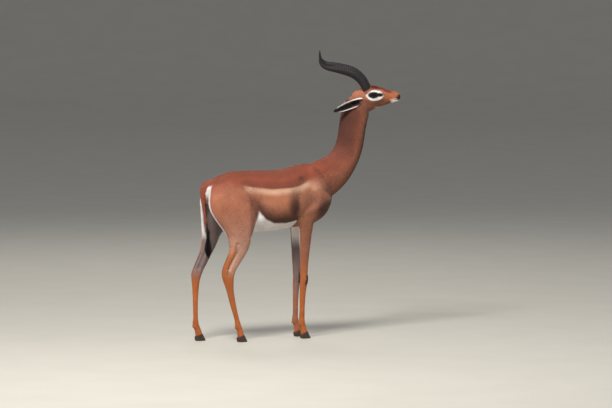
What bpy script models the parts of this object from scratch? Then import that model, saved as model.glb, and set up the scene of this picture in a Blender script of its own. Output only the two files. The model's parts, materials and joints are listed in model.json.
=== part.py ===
"""A standing male gerenuk at life size, modelled whole and then parted into its named pieces.

Metres, +Z up, +X towards the chest, +Y to the animal's left. The trunk, neck, head and legs are
lofts that are fused into one skin, evened out, and shaped with soft strokes. The skin is then
parted with thin cuts. Horns, ears, eyes, hooves and the tail are solids of their own, each set
against what it grows from.
"""

import math
import random

import bmesh
import bpy
import numpy as np
from mathutils import Matrix, Vector

# Fit between neighbouring solids
GAP = 0.0003

# From the drawing's origin to the model's own, which is on the floor under the middle of its box
TO_ORIGIN = Vector((0.0124, 0.0038, 0.0))

# Trunk: x, back line, belly line, half width, height of the widest point, roundness above and below
TRUNK = [
    (-0.545, 0.834, 0.800, 0.020, 0.815, 2.0, 2.0),
    (-0.532, 0.856, 0.745, 0.050, 0.795, 2.0, 2.0),
    (-0.505, 0.874, 0.700, 0.076, 0.785, 2.0, 2.0),
    (-0.465, 0.893, 0.658, 0.094, 0.780, 1.8, 2.0),
    (-0.400, 0.914, 0.624, 0.101, 0.775, 1.7, 2.0),
    (-0.320, 0.918, 0.596, 0.105, 0.755, 1.8, 2.1),
    (-0.240, 0.917, 0.582, 0.118, 0.738, 1.9, 2.1),
    (-0.160, 0.916, 0.586, 0.128, 0.733, 1.9, 2.1),
    (-0.090, 0.921, 0.596, 0.129, 0.738, 1.8, 2.1),
    (-0.030, 0.935, 0.602, 0.120, 0.745, 1.6, 2.1),
    (0.030, 0.947, 0.607, 0.104, 0.745, 1.5, 2.0),
    (0.080, 0.949, 0.616, 0.090, 0.750, 1.5, 2.0),
    (0.125, 0.944, 0.636, 0.080, 0.760, 1.6, 2.0),
    (0.160, 0.920, 0.662, 0.070, 0.770, 1.8, 2.0),
    (0.184, 0.868, 0.700, 0.054, 0.775, 2.0, 2.0),
    (0.198, 0.805, 0.742, 0.028, 0.775, 2.0, 2.0),
]

# Neck: centre x, y, z, half depth front to back, half width. It turns with the head as it rises.
NECK = [
    (0.105, 0.000, 0.835, 0.108, 0.070),
    (0.170, 0.000, 0.868, 0.107, 0.067),
    (0.226, -0.002, 0.905, 0.095, 0.060),
    (0.268, -0.006, 0.952, 0.084, 0.054),
    (0.297, -0.011, 1.006, 0.078, 0.050),
    (0.313, -0.016, 1.065, 0.076, 0.048),
    (0.321, -0.020, 1.125, 0.075, 0.046),
    (0.330, -0.025, 1.185, 0.076, 0.045),
    (0.343, -0.032, 1.235, 0.072, 0.043),
    (0.361, -0.041, 1.275, 0.052, 0.036),
]

# Head frame: origin midway between the eyes, x to the nose, z up. The head turns to its right.
HEAD_ORIGIN = Vector((0.426, -0.070, 1.313))
HEAD_YAW = math.radians(-25)
HEAD_ROLL = math.radians(8)

# Head: x, top line, bottom line, half width, height of the widest point, roundness above and below
HEAD = [
    (-0.116, 0.006, -0.050, 0.024, -0.026, 2.0, 2.0),
    (-0.100, 0.018, -0.075, 0.034, -0.026, 2.1, 2.0),
    (-0.075, 0.030, -0.095, 0.038, -0.026, 2.3, 2.0),
    (-0.045, 0.038, -0.097, 0.041, -0.022, 2.6, 1.9),
    (-0.015, 0.040, -0.087, 0.042, -0.010, 2.8, 1.7),
    (0.012, 0.038, -0.075, 0.039, -0.006, 2.8, 1.7),
    (0.038, 0.034, -0.064, 0.032, -0.004, 2.6, 1.7),
    (0.065, 0.031, -0.054, 0.0265, -0.004, 2.4, 1.8),
    (0.092, 0.027, -0.045, 0.0235, -0.005, 2.3, 1.9),
    (0.117, 0.022, -0.038, 0.0222, -0.006, 2.3, 2.0),
    (0.134, 0.015, -0.031, 0.0205, -0.007, 2.3, 2.1),
    (0.146, 0.004, -0.020, 0.0140, -0.008, 2.1, 2.0),
]

# Nape, in the head frame, behind the ears: centre x, y, z, half depth, half width
NAPE = [
    (-0.070, 0.0, -0.030, 0.040, 0.034),
    (-0.100, 0.0, -0.042, 0.041, 0.036),
    (-0.130, 0.0, -0.066, 0.042, 0.039),
]

# Eyes, in the head frame
EYE_RADIUS = 0.0165
EYE_CENTRE = Vector((-0.002, 0.0295, 0.006))
EYE_LOOKS = Vector((0.30, 0.94, 0.06))
LID_THICKNESS = 0.0030
LID_OPENING = (0.0148, 0.0094)

# Horns, in the head frame: a curve through these points, about 0.36 long
HORN_POINTS = [
    (-0.027, 0.021, 0.013),
    (-0.0395, 0.024, 0.0435),
    (-0.068, 0.032, 0.0905),
    (-0.116, 0.045, 0.1275),
    (-0.189, 0.060, 0.1495),
    (-0.256, 0.066, 0.1635),
    (-0.287, 0.063, 0.190),
    (-0.292, 0.058, 0.237),
]
# The bone under each horn: centre x, y, z, half depth, half width
HORN_SEAT = [
    (-0.021, 0.014, 0.000, 0.028, 0.025),
    (-0.032, 0.020, 0.024, 0.0255, 0.0215),
    (-0.038, 0.0235, 0.038, 0.0240, 0.0200),
]
# Along a horn: share of its length, radius front to back; it is narrower from side to side
HORN_RADII = [
    (0.00, 0.0150),
    (0.05, 0.0215),
    (0.10, 0.0238),
    (0.20, 0.0243),
    (0.40, 0.0232),
    (0.60, 0.0188),
    (0.80, 0.0120),
    (0.93, 0.0058),
    (1.00, 0.0016),
]
HORN_NARROWER = 0.84
HORN_RINGS = 13
HORN_RINGED = (0.10, 0.80)
HORN_TIP_SHARES = (0.80, 0.86, 0.92, 0.97, 1.00)
RING_CREST = 0.55
RING_HEIGHT = 0.0030

# Ears, in the head frame: root, the way each cup opens, and its tip. The left one is turned out more.
EAR_ROOT = Vector((-0.060, 0.017, -0.018))
EAR_OPENS = Vector((0.25, 1.0, -0.10))
EAR_TIPS = {
    "right": Vector((-0.217, -0.098, -0.072)),
    "left": Vector((-0.178, 0.134, -0.092)),
}
EAR_HALF_WIDTH = 0.0270
EAR_WALL = 0.0030
EAR_BOW = 0.003
EAR_ROWS = 11
EAR_COLUMNS = 7
# How far round an ear's arc reaches to each side, in degrees, by the share of its length
EAR_SPREAD = ((0.0, 0.15, 0.45, 1.0), (150, 128, 88, 62))
FRINGE_LOCKS = 7
FRINGE_LOCK = (0.0080, 0.0018)
FRINGE_REACH = 0.020

# Legs: height, front, back, centre sideways, half width. The right fore leg also makes the left.
FORE_LEG = [
    (0.900, 0.110, 0.045, 0.030, 0.022),
    (0.860, 0.140, 0.030, 0.038, 0.032),
    (0.810, 0.168, 0.018, 0.050, 0.037),
    (0.760, 0.180, 0.000, 0.058, 0.038),
    (0.715, 0.150, -0.022, 0.065, 0.039),
    (0.675, 0.100, -0.036, 0.070, 0.038),
    (0.640, 0.070, -0.032, 0.071, 0.035),
    (0.600, 0.060, -0.019, 0.069, 0.031),
    (0.535, 0.051, -0.015, 0.066, 0.026),
    (0.426, 0.039, -0.011, 0.062, 0.0205),
    (0.360, 0.035, -0.008, 0.059, 0.0185),
    (0.322, 0.036, -0.007, 0.058, 0.0200),
    (0.290, 0.032, -0.009, 0.057, 0.0175),
    (0.240, 0.025, -0.010, 0.056, 0.0138),
    (0.170, 0.021, -0.010, 0.055, 0.0122),
    (0.120, 0.020, -0.012, 0.054, 0.0130),
    (0.092, 0.021, -0.016, 0.054, 0.0160),
    (0.064, 0.028, -0.007, 0.054, 0.0155),
    (0.036, 0.037, -0.003, 0.054, 0.0190),
    (0.008, 0.042, -0.001, 0.054, 0.0195),
]
FORE_LEFT_AHEAD = 0.011
HIND_RIGHT = [
    (0.880, -0.425, -0.470, 0.026, 0.020),
    (0.850, -0.375, -0.515, 0.040, 0.034),
    (0.815, -0.342, -0.534, 0.050, 0.044),
    (0.760, -0.305, -0.546, 0.058, 0.054),
    (0.710, -0.280, -0.540, 0.063, 0.058),
    (0.654, -0.276, -0.508, 0.070, 0.056),
    (0.600, -0.292, -0.468, 0.078, 0.048),
    (0.550, -0.311, -0.444, 0.084, 0.040),
    (0.495, -0.331, -0.438, 0.086, 0.032),
    (0.440, -0.366, -0.462, 0.086, 0.0245),
    (0.392, -0.397, -0.481, 0.084, 0.0200),
    (0.360, -0.409, -0.482, 0.083, 0.0195),
    (0.325, -0.413, -0.471, 0.082, 0.0180),
    (0.280, -0.411, -0.454, 0.080, 0.0148),
    (0.210, -0.398, -0.434, 0.078, 0.0124),
    (0.140, -0.382, -0.411, 0.077, 0.0122),
    (0.115, -0.374, -0.404, 0.076, 0.0132),
    (0.090, -0.366, -0.401, 0.076, 0.0160),
    (0.064, -0.357, -0.391, 0.076, 0.0155),
    (0.036, -0.349, -0.388, 0.076, 0.0190),
    (0.008, -0.344, -0.386, 0.076, 0.0195),
]
HIND_LEFT = [
    (0.880, -0.425, -0.470, 0.026, 0.020),
    (0.850, -0.375, -0.515, 0.040, 0.034),
    (0.815, -0.348, -0.534, 0.050, 0.044),
    (0.760, -0.325, -0.546, 0.058, 0.054),
    (0.710, -0.325, -0.541, 0.063, 0.058),
    (0.660, -0.345, -0.535, 0.070, 0.056),
    (0.610, -0.388, -0.529, 0.078, 0.048),
    (0.565, -0.420, -0.526, 0.084, 0.040),
    (0.511, -0.445, -0.530, 0.086, 0.032),
    (0.465, -0.470, -0.543, 0.086, 0.0260),
    (0.400, -0.507, -0.574, 0.084, 0.0200),
    (0.366, -0.525, -0.588, 0.083, 0.0195),
    (0.330, -0.538, -0.588, 0.082, 0.0180),
    (0.285, -0.546, -0.584, 0.080, 0.0148),
    (0.210, -0.552, -0.582, 0.078, 0.0124),
    (0.140, -0.553, -0.580, 0.077, 0.0122),
    (0.115, -0.552, -0.582, 0.076, 0.0132),
    (0.090, -0.548, -0.584, 0.076, 0.0160),
    (0.064, -0.537, -0.574, 0.076, 0.0155),
    (0.036, -0.528, -0.568, 0.076, 0.0190),
    (0.008, -0.523, -0.566, 0.076, 0.0195),
]

# The row of a leg at its fetlock, and the half sizes of the two false hooves behind it
FETLOCK_ROW = -4
DEWCLAW = (0.0062, 0.0050, 0.0092)
DEWCLAW_PLACE = (0.0045, 0.0080, -0.014)
DEWCLAW_LEAN = math.radians(-25)

# Hooves: two on each foot. The coronet is a plane that falls from the front of the foot to its heel.
CORONET_ROW = -2
CORONET_FRONT = 0.038
CORONET_BACK = 0.022
HOOF_TOE = 0.017
HOOF_HEEL = 0.005
HOOF_WIDTH = 0.0175
# A hoof's sections, up from its sole: height, how far its heel and its toe lie from the leg's, width
HOOF_LEVELS = [
    (0.0, HOOF_HEEL, HOOF_TOE, HOOF_WIDTH),
    (0.004, HOOF_HEEL - 0.003, HOOF_TOE - 0.0005, HOOF_WIDTH + 0.0006),
    (0.020, -0.001, 0.008, HOOF_WIDTH - 0.0004),
    (CORONET_FRONT + 0.012, 0.002, -0.006, HOOF_WIDTH - 0.0020),
]
CLEFT = 0.0030
CLEFT_HEIGHT = 0.056

# Tail: x, z, half width, half thickness, down to where the tuft of long hair starts
TAIL = [
    (-0.500, 0.858, 0.028, 0.016),
    (-0.532, 0.850, 0.028, 0.017),
    (-0.553, 0.829, 0.025, 0.015),
    (-0.558, 0.797, 0.020, 0.0125),
    (-0.5545, 0.762, 0.016, 0.0115),
    (-0.547, 0.711, 0.012, 0.0100),
    (-0.538, 0.657, 0.0105, 0.0090),
    (-0.529, 0.602, 0.0100, 0.0080),
    (-0.521, 0.555, 0.0095, 0.0075),
]
TUFT_TOP = 0.575
TUFT_TIP = Vector((-0.524, 0.0, 0.447))
TUFT_LOCKS = 11
TUFT_LOCK = (0.011, 0.004)
# The tuft's core: share of the way from its top to its tip, radius
TUFT_CORE = [(0.0, 0.0085), (0.15, 0.0110), (0.40, 0.0115), (0.65, 0.0085), (0.85, 0.0040)]

# Soft strokes on the body, on both sides: points, reach, height above the skin
BODY_STROKES = [
    ("shoulder blade", [(0.045, 0.062, 0.900), (0.085, 0.082, 0.820), (0.110, 0.092, 0.760)], 0.026, 0.0030),
    ("behind shoulder", [(0.005, 0.08, 0.88), (-0.022, 0.112, 0.79), (-0.045, 0.11, 0.69)], 0.026, -0.0050),
    ("upper arm", [(0.140, 0.085, 0.745), (0.080, 0.100, 0.715), (0.020, 0.105, 0.690)], 0.028, 0.0030),
    ("elbow", [(-0.028, 0.082, 0.665), (-0.024, 0.078, 0.640)], 0.016, 0.0050),
    ("flank", [(-0.330, 0.092, 0.850), (-0.268, 0.105, 0.770), (-0.262, 0.100, 0.680)], 0.030, -0.0060),
    ("hip", [(-0.375, 0.072, 0.888), (-0.350, 0.080, 0.878)], 0.026, 0.0045),
    ("neck furrow", [(0.155, 0.075, 0.900), (0.235, 0.055, 0.960), (0.290, 0.045, 1.060)], 0.028, -0.0030),
    ("thigh furrow", [(-0.500, 0.085, 0.8), (-0.480, 0.105, 0.72), (-0.440, 0.115, 0.64)], 0.018, -0.0030),
]
# The hollow between the shin and the tendon: height, share of the leg's depth from its back
TENDON_HOLLOW = [(0.530, 0.30), (0.480, 0.30), (0.430, 0.32), (0.395, 0.38)]
HOLLOW_REACH = 0.013
HOLLOW_DEPTH = 0.0075

# Soft strokes on the head, in its frame, on both sides
HEAD_STROKES = [
    ("forehead", [(-0.012, 0.0, 0.048), (0.015, 0.0, 0.042), (0.040, 0.0, 0.035)], 0.034, 0.0045),
    ("poll", [(-0.060, 0.0, 0.034), (-0.095, 0.0, 0.018)], 0.030, 0.0020),
    ("brow", [(-0.026, 0.040, 0.024), (-0.004, 0.042, 0.029), (0.020, 0.036, 0.024)], 0.010, 0.0022),
    ("temple", [(-0.046, 0.040, 0.012), (-0.036, 0.044, -0.004)], 0.016, -0.0028),
    ("cheekbone", [(-0.060, 0.040, -0.022), (-0.010, 0.046, -0.024), (0.046, 0.032, -0.018)], 0.011, 0.0016),
    ("jaw muscle", [(-0.058, 0.036, -0.050), (-0.040, 0.036, -0.066)], 0.026, 0.0035),
    ("cheek", [(0.014, 0.030, -0.046), (0.056, 0.025, -0.036)], 0.020, -0.0016),
    ("tear gland", [(0.026, 0.038, -0.001), (0.036, 0.034, -0.004)], 0.005, -0.0022),
    ("nose bone", [(0.050, 0.020, 0.020), (0.100, 0.016, 0.016)], 0.010, -0.0010),
    ("upper lip", [(0.143, 0.006, -0.011), (0.132, 0.017, -0.013), (0.100, 0.022, -0.018)], 0.007, 0.0018),
    ("lower lip", [(0.137, 0.006, -0.026), (0.126, 0.014, -0.029), (0.100, 0.019, -0.032)], 0.006, 0.0012),
    ("mouth", [(0.147, 0.0, -0.018), (0.138, 0.014, -0.0195), (0.118, 0.021, -0.023)], 0.0032, -0.0034),
    ("mouth corner", [(0.118, 0.021, -0.023), (0.102, 0.022, -0.026), (0.086, 0.024, -0.028)], 0.0032, -0.003),
    ("nostril", [(0.147, 0.0070, -0.007), (0.142, 0.0130, -0.002), (0.132, 0.0165, 0.004)], 0.0046, -0.0050),
    ("nose wing", [(0.136, 0.0190, -0.004), (0.128, 0.0190, 0.004), (0.132, 0.0120, 0.010)], 0.005, 0.0014),
]

# Cuts: a point in the plane and the way the plane faces, out of the piece that the cut frees
HEAD_CUT = (Vector((-0.088, 0.0, -0.068)), Vector((-0.70, 0.0, -0.71)))
NECK_CUT = (Vector((0.180, 0.0, 0.880)), Vector((-0.84, 0.0, -0.54)))
FORE_CUTS = [
    (Vector((0.0, 0.0, 0.0)), Vector((0.0, -1.0, 0.0))),
    (Vector((0.0, 0.0, 0.612)), Vector((0.0, -1.0, 0.46))),
    (Vector((-0.046, 0.0, 0.600)), Vector((-1.0, 0.0, 0.10))),
    (Vector((0.215, 0.0, 0.700)), Vector((1.0, 0.0, 0.0))),
]
HIND_CUTS = [
    (Vector((0.0, 0.0, 0.0)), Vector((0.0, -1.0, 0.0))),
    (Vector((0.0, 0.0, 0.628)), Vector((0.0, -1.0, 0.27))),
    (Vector((-0.262, 0.0, 0.620)), Vector((1.0, 0.0, 0.62))),
]

# Mesh density
BODY_VOXEL = 0.0045
HEAD_VOXEL = 0.0020
BODY_TRIANGLES = 6300
HEAD_TRIANGLES = 4000

# Colour and roughness of each finish
FINISHES = {
    "coat_red": ((0.30, 0.10, 0.045), 0.75),
    "coat_tan": ((0.42, 0.20, 0.10), 0.75),
    "horn": ((0.045, 0.032, 0.030), 0.45),
    "hoof": ((0.030, 0.026, 0.024), 0.40),
    "eye": ((0.012, 0.008, 0.006), 0.08),
    "ear": ((0.36, 0.17, 0.09), 0.75),
    "black_hair": ((0.015, 0.012, 0.011), 0.60),
}


def clear_scene():
    for obj in list(bpy.data.objects):
        bpy.data.objects.remove(obj)


def head_matrix():
    turn = Matrix.Rotation(HEAD_YAW, 4, "Z") @ Matrix.Rotation(HEAD_ROLL, 4, "X")
    return Matrix.Translation(HEAD_ORIGIN) @ turn


def spline(rows, per_gap):
    """Rows of numbers read from a smooth curve through the given ones."""
    rows = np.array(rows, float)
    first, last = 2 * rows[0] - rows[1], 2 * rows[-1] - rows[-2]
    padded = np.vstack([first, rows, last])
    made = []
    for i in range(1, len(padded) - 2):
        p0, p1, p2, p3 = padded[i - 1 : i + 3]
        for k in range(per_gap):
            t = k / per_gap
            made.append(
                0.5
                * (
                    2 * p1
                    + (p2 - p0) * t
                    + (2 * p0 - 5 * p1 + 4 * p2 - p3) * t**2
                    + (3 * p1 - p0 - 3 * p2 + p3) * t**3
                )
            )
    made.append(rows[-1])
    return made


def oval(across, up, down, round_up=2.0, round_down=2.0, sides=32):
    """Points (sideways, upwards) of an egg-shaped section, as a superellipse."""
    points = []
    for i in range(sides):
        angle = 2 * math.pi * i / sides
        c, s = math.cos(angle), math.sin(angle)
        power = 2 / (round_up if s >= 0 else round_down)
        height = up if s >= 0 else down
        sideways = across * math.copysign(abs(c) ** power, c)
        upwards = height * math.copysign(abs(s) ** power, s)
        points.append((sideways, upwards))
    return points


def object_of(name, bm):
    mesh = bpy.data.meshes.new(name)
    bm.to_mesh(mesh)
    bm.free()
    obj = bpy.data.objects.new(name, mesh)
    bpy.context.scene.collection.objects.link(obj)
    return obj


def tube(name, rings):
    """A closed mesh through rings of points, with both ends filled."""
    bm = bmesh.new()
    loops = [[bm.verts.new(p) for p in ring] for ring in rings]
    for a, b in zip(loops, loops[1:]):
        for i in range(len(a)):
            j = (i + 1) % len(a)
            bm.faces.new((a[i], a[j], b[j], b[i]))
    bm.faces.new(loops[0])
    bm.faces.new(loops[-1])
    bmesh.ops.recalc_face_normals(bm, faces=bm.faces)
    return object_of(name, bm)


def limb(name, rows, across=Vector((0, 1, 0)), turn=0.0, sides=24, per_gap=4):
    """A tube through rows of centre x, y, z, half depth and half width, square to its path.

    Its width lies along across, which turns about the upright axis by turn on the way.
    """
    rows = spline(rows, per_gap)
    centres = [Vector(row[:3]) for row in rows]
    rings = []
    for i, row in enumerate(rows):
        ahead = centres[min(i + 1, len(rows) - 1)] - centres[max(i - 1, 0)]
        ahead.normalize()
        side = Matrix.Rotation(turn * i / (len(rows) - 1), 3, "Z") @ across
        depth = side.cross(ahead).normalized()
        side = ahead.cross(depth)
        half_depth, half_width = float(row[3]), float(row[4])
        outline = oval(half_width, half_depth, half_depth, sides=sides)
        rings.append([centres[i] + side * a + depth * d for a, d in outline])
    return tube(name, rings)


def sections(name, rows, per_gap=4, sides=40):
    """A tube through upright sections along x, as the trunk and the head have."""
    rings = []
    for x, top, bottom, half_width, widest, above, below in spline(rows, per_gap):
        outline = oval(half_width, top - widest, widest - bottom, above, below, sides)
        rings.append([Vector((x, a, widest + b)) for a, b in outline])
    return tube(name, rings)


def leg(name, rows, sign, ahead=0.0, per_gap=4, sides=28):
    """A tube through level sections, as a leg has: height, front, back, centre, half width."""
    rings = []
    for z, front, back, centre, half_width in spline(rows, per_gap):
        middle, half_depth = (front + back) / 2 + ahead, (front - back) / 2
        outline = oval(half_width, half_depth, half_depth, 2.1, 2.1, sides)
        rings.append([Vector((middle + b, sign * centre + a, z)) for a, b in outline])
    return tube(name, rings)


def ball(name, centre, radii, turn=Matrix.Identity(4), u=24, v=16):
    bm = bmesh.new()
    bmesh.ops.create_uvsphere(bm, u_segments=u, v_segments=v, radius=1.0)
    scale = Matrix.Diagonal((*radii, 1.0))
    bmesh.ops.transform(bm, matrix=Matrix.Translation(centre) @ turn @ scale, verts=bm.verts)
    return object_of(name, bm)


def joined(name, parts):
    """One object holding the meshes of all the parts, which are removed."""
    bm = bmesh.new()
    for part in parts:
        bm.from_mesh(part.data)
        bpy.data.objects.remove(part)
    return object_of(name, bm)


def copied(obj, name):
    made = bpy.data.objects.new(name, obj.data.copy())
    bpy.context.scene.collection.objects.link(made)
    return made


def apply_modifiers(obj):
    """Replaces an object's mesh by what its modifiers make of it."""
    graph = bpy.context.evaluated_depsgraph_get()
    mesh = bpy.data.meshes.new_from_object(obj.evaluated_get(graph))
    obj.modifiers.clear()
    obj.data = mesh
    return obj


def fuse(obj, voxel):
    remesh = obj.modifiers.new("fuse", "REMESH")
    remesh.mode = "VOXEL"
    remesh.voxel_size = voxel
    return apply_modifiers(obj)


def keep_largest(obj):
    """Drops every closed surface of a mesh but its largest."""
    bm = bmesh.new()
    bm.from_mesh(obj.data)
    groups, seen = [], set()
    for start in bm.faces:
        if start in seen:
            continue
        seen.add(start)
        group, front = [start], [start]
        while front:
            for edge in front.pop().edges:
                for face in edge.link_faces:
                    if face not in seen:
                        seen.add(face)
                        group.append(face)
                        front.append(face)
        groups.append(group)
    groups.sort(key=lambda group: sum(face.calc_area() for face in group))
    spare = [face for group in groups[:-1] for face in group]
    bmesh.ops.delete(bm, geom=spare, context="FACES")
    bm.to_mesh(obj.data)
    bm.free()
    return obj


def boolean(obj, cutter, operation, solver="EXACT"):
    """Joins, cuts or trims a mesh by another, which is removed, and keeps the largest surface."""
    cut = obj.modifiers.new("cut", "BOOLEAN")
    cut.operation = operation
    cut.object = cutter
    cut.solver = solver
    apply_modifiers(obj)
    bpy.data.objects.remove(cutter)
    return keep_largest(obj)


def union(obj, pieces, name):
    """Joins closed pieces to a mesh in one step."""
    group = bpy.data.collections.new(name)
    bpy.context.scene.collection.children.link(group)
    for piece in pieces:
        bpy.context.scene.collection.objects.unlink(piece)
        group.objects.link(piece)
    cut = obj.modifiers.new("join", "BOOLEAN")
    cut.operation = "UNION"
    cut.operand_type = "COLLECTION"
    cut.collection = group
    cut.solver = "EXACT"
    apply_modifiers(obj)
    for piece in pieces:
        bpy.data.objects.remove(piece)
    bpy.data.collections.remove(group)
    return keep_largest(obj)


def block(planes, grow, size=2.0):
    """A closed block of space behind every plane, grown by a little."""
    bm = bmesh.new()
    bmesh.ops.create_cube(bm, size=2 * size)
    for point, normal in planes:
        normal = normal.normalized()
        geom = bm.verts[:] + bm.edges[:] + bm.faces[:]
        made = bmesh.ops.bisect_plane(
            bm, geom=geom, plane_co=point + normal * grow, plane_no=normal, clear_outer=True
        )
        edges = [item for item in made["geom_cut"] if isinstance(item, bmesh.types.BMEdge)]
        bmesh.ops.edgeloop_fill(bm, edges=edges)
    bmesh.ops.recalc_face_normals(bm, faces=bm.faces)
    return object_of("block", bm)


def part_off(body, name, planes):
    """Frees the piece of a body that lies behind the planes, and leaves the rest a gap away."""
    piece = copied(body, name)
    boolean(piece, block(planes, -GAP / 2), "INTERSECT")
    boolean(body, block(planes, GAP / 2), "DIFFERENCE")
    return piece


def points_of(obj):
    points = np.empty(len(obj.data.vertices) * 3, np.float32)
    obj.data.vertices.foreach_get("co", points)
    return points.reshape(-1, 3).astype(float)


def normals_of(obj):
    normals = np.empty(len(obj.data.vertices) * 3, np.float32)
    obj.data.vertex_normals.foreach_get("vector", normals)
    return normals.reshape(-1, 3).astype(float)


def set_points(obj, points):
    obj.data.vertices.foreach_set("co", points.astype(np.float32).ravel())
    obj.data.update()


def grown(obj, name, by):
    """A copy of a mesh with every point moved outwards."""
    made = copied(obj, name)
    set_points(made, points_of(made) + normals_of(made) * by)
    return made


def relax(obj, weights, rounds):
    """Evens the skin out where weights are high, as flesh flows over a joint, and keeps its volume."""
    count = len(obj.data.vertices)
    edges = np.empty(len(obj.data.edges) * 2, np.int32)
    obj.data.edges.foreach_get("vertices", edges)
    a, b = edges.reshape(-1, 2).T
    degree = np.bincount(edges, minlength=count)[:, None]
    points = points_of(obj)
    for step in range(2 * rounds):
        total = np.zeros_like(points)
        for axis in range(3):
            total[:, axis] += np.bincount(a, points[b, axis], count)
            total[:, axis] += np.bincount(b, points[a, axis], count)
        factor = 0.5 if step % 2 == 0 else -0.48
        points += factor * weights[:, None] * (total / degree - points)
    set_points(obj, points)


def smooth_step(low, high, values):
    t = np.clip((values - low) / (high - low), 0, 1)
    return t * t * (3 - 2 * t)


def distance_to(points, path):
    """The distance of each point from a path of straight runs."""
    nearest = np.full(len(points), np.inf)
    for start, end in zip(path, path[1:]):
        run = end - start
        share = np.clip((points - start) @ run / (run @ run), 0, 1)
        nearest = np.minimum(nearest, np.linalg.norm(points - start - share[:, None] * run, axis=1))
    return nearest


def stroke(points, normals, path, reach, height):
    """Moves the points near a path along their normals, most at the path."""
    near = np.clip(distance_to(points, np.array(spline(path, 6))) / reach, 0, 1)
    return points + normals * (height * (1 - near**2) ** 2)[:, None]


def both_sides(path):
    for sign in (1, -1):
        yield [(x, sign * y, z) for x, y, z in path]


def shape_body(body):
    points, normals = points_of(body), normals_of(body)
    for _, path, reach, height in BODY_STROKES:
        for side in both_sides(path):
            points = stroke(points, normals, side, reach, height)
    for rows, sign in ((HIND_RIGHT, -1), (HIND_LEFT, 1)):
        heights = [row[0] for row in rows][::-1]
        path = []
        for z, share in TENDON_HOLLOW:
            front, back, centre, half_width = (
                np.interp(z, heights, [row[k] for row in rows][::-1]) for k in (1, 2, 3, 4)
            )
            path.append((back + share * (front - back), centre, z, half_width))
        for inner in (-1, 1):
            line = [(x, sign * y + inner * width, z) for x, y, z, width in path]
            points = stroke(points, normals, line, HOLLOW_REACH, -HOLLOW_DEPTH)
    set_points(body, points)


def shape_head(head):
    frame = head_matrix()
    turn = np.array(frame.to_3x3())
    origin = np.array(frame.translation)
    points = (points_of(head) - origin) @ turn
    for _, path, reach, height in HEAD_STROKES:
        normals = normals_of(head) @ turn
        for side in both_sides(path):
            points = stroke(points, normals, side, reach, height)
    set_points(head, points @ turn.T + origin)


def thin_out(obj, triangles):
    obj.data.calc_loop_triangles()
    cut = obj.modifiers.new("thin", "DECIMATE")
    cut.decimate_type = "COLLAPSE"
    cut.ratio = triangles / len(obj.data.loop_triangles)
    return apply_modifiers(obj)


def forms():
    """The lofts that are fused into the skin."""
    trunk = sections("trunk", TRUNK)
    neck = limb("neck_form", NECK, turn=HEAD_YAW, sides=32)
    legs = [
        leg("fore_right", FORE_LEG, -1),
        leg("fore_left", FORE_LEG, 1, ahead=FORE_LEFT_AHEAD),
        leg("hind_right", HIND_RIGHT, -1),
        leg("hind_left", HIND_LEFT, 1),
    ]
    return [trunk, neck, *legs, *dewclaws()]


def head_forms():
    parts = [sections("skull", HEAD), limb("nape", NAPE)]
    for sign in (-1, 1):
        centre = Vector((EYE_CENTRE.x, sign * EYE_CENTRE.y, EYE_CENTRE.z))
        radius = EYE_RADIUS + LID_THICKNESS
        parts.append(ball("orbit", centre, (radius, radius, radius)))
        seat = [(x, sign * y, z, depth, width) for x, y, z, depth, width in HORN_SEAT]
        parts.append(limb("horn_seat", seat))
    for part in parts:
        part.data.transform(head_matrix())
    return parts


def feet():
    """Each foot's name, the side it stands on, its leg's rows, and how far ahead they are moved."""
    yield "fore_right", -1, FORE_LEG, 0.0
    yield "fore_left", 1, FORE_LEG, FORE_LEFT_AHEAD
    yield "hind_right", -1, HIND_RIGHT, 0.0
    yield "hind_left", 1, HIND_LEFT, 0.0


def dewclaws():
    """Two small false hooves behind each fetlock."""
    made = []
    for _, side, rows, ahead in feet():
        z, _, back, centre, _ = rows[FETLOCK_ROW]
        in_front, apart, lower = DEWCLAW_PLACE
        for sign in (-1, 1):
            place = Vector((back + ahead + in_front, side * centre + sign * apart, z + lower))
            lean = Matrix.Rotation(DEWCLAW_LEAN, 4, "Y")
            made.append(ball("dewclaw", place, DEWCLAW, lean, u=16, v=10))
    return made


def coronet(front, back):
    """The plane between a foot's flesh and its hooves."""
    point = Vector((front, 0, CORONET_FRONT))
    slope = Vector((front - back, 0, CORONET_FRONT - CORONET_BACK))
    return point, Vector((-slope.z, 0, slope.x)).normalized()


def hoof_outline(heel, toe, width, count=7):
    """One hoof seen from above: straight on its inner side, curved on its outer, as (x, y)."""
    inner = [(heel + (toe - heel) * s, CLEFT / 2) for s in (0.10, 0.40, 0.70, 0.97)]
    outer = []
    for k in range(count):
        s = 1 - k / (count - 1)
        swell = (math.sin(math.pi * (0.08 + 0.90 * s)) ** 0.55) * (1 - 0.25 * s)
        outer.append((heel + (toe - heel) * s, CLEFT / 2 + 0.003 + (width - 0.003) * swell))
    return inner + outer


def hoof(name, side, centre, front, back, plane):
    """A hoof with a flat sole, widening down from the coronet, cut off along the coronet's plane."""
    rings = []
    for z, heel, toe, width in HOOF_LEVELS:
        outline = hoof_outline(back + heel, front + toe, width)
        rings.append([Vector((x, centre + side * y, z)) for x, y in outline])
    made = tube(name, rings)
    point, normal = plane
    return boolean(made, block([(point, normal)], -GAP / 2, size=1.0), "INTERSECT")


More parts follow.
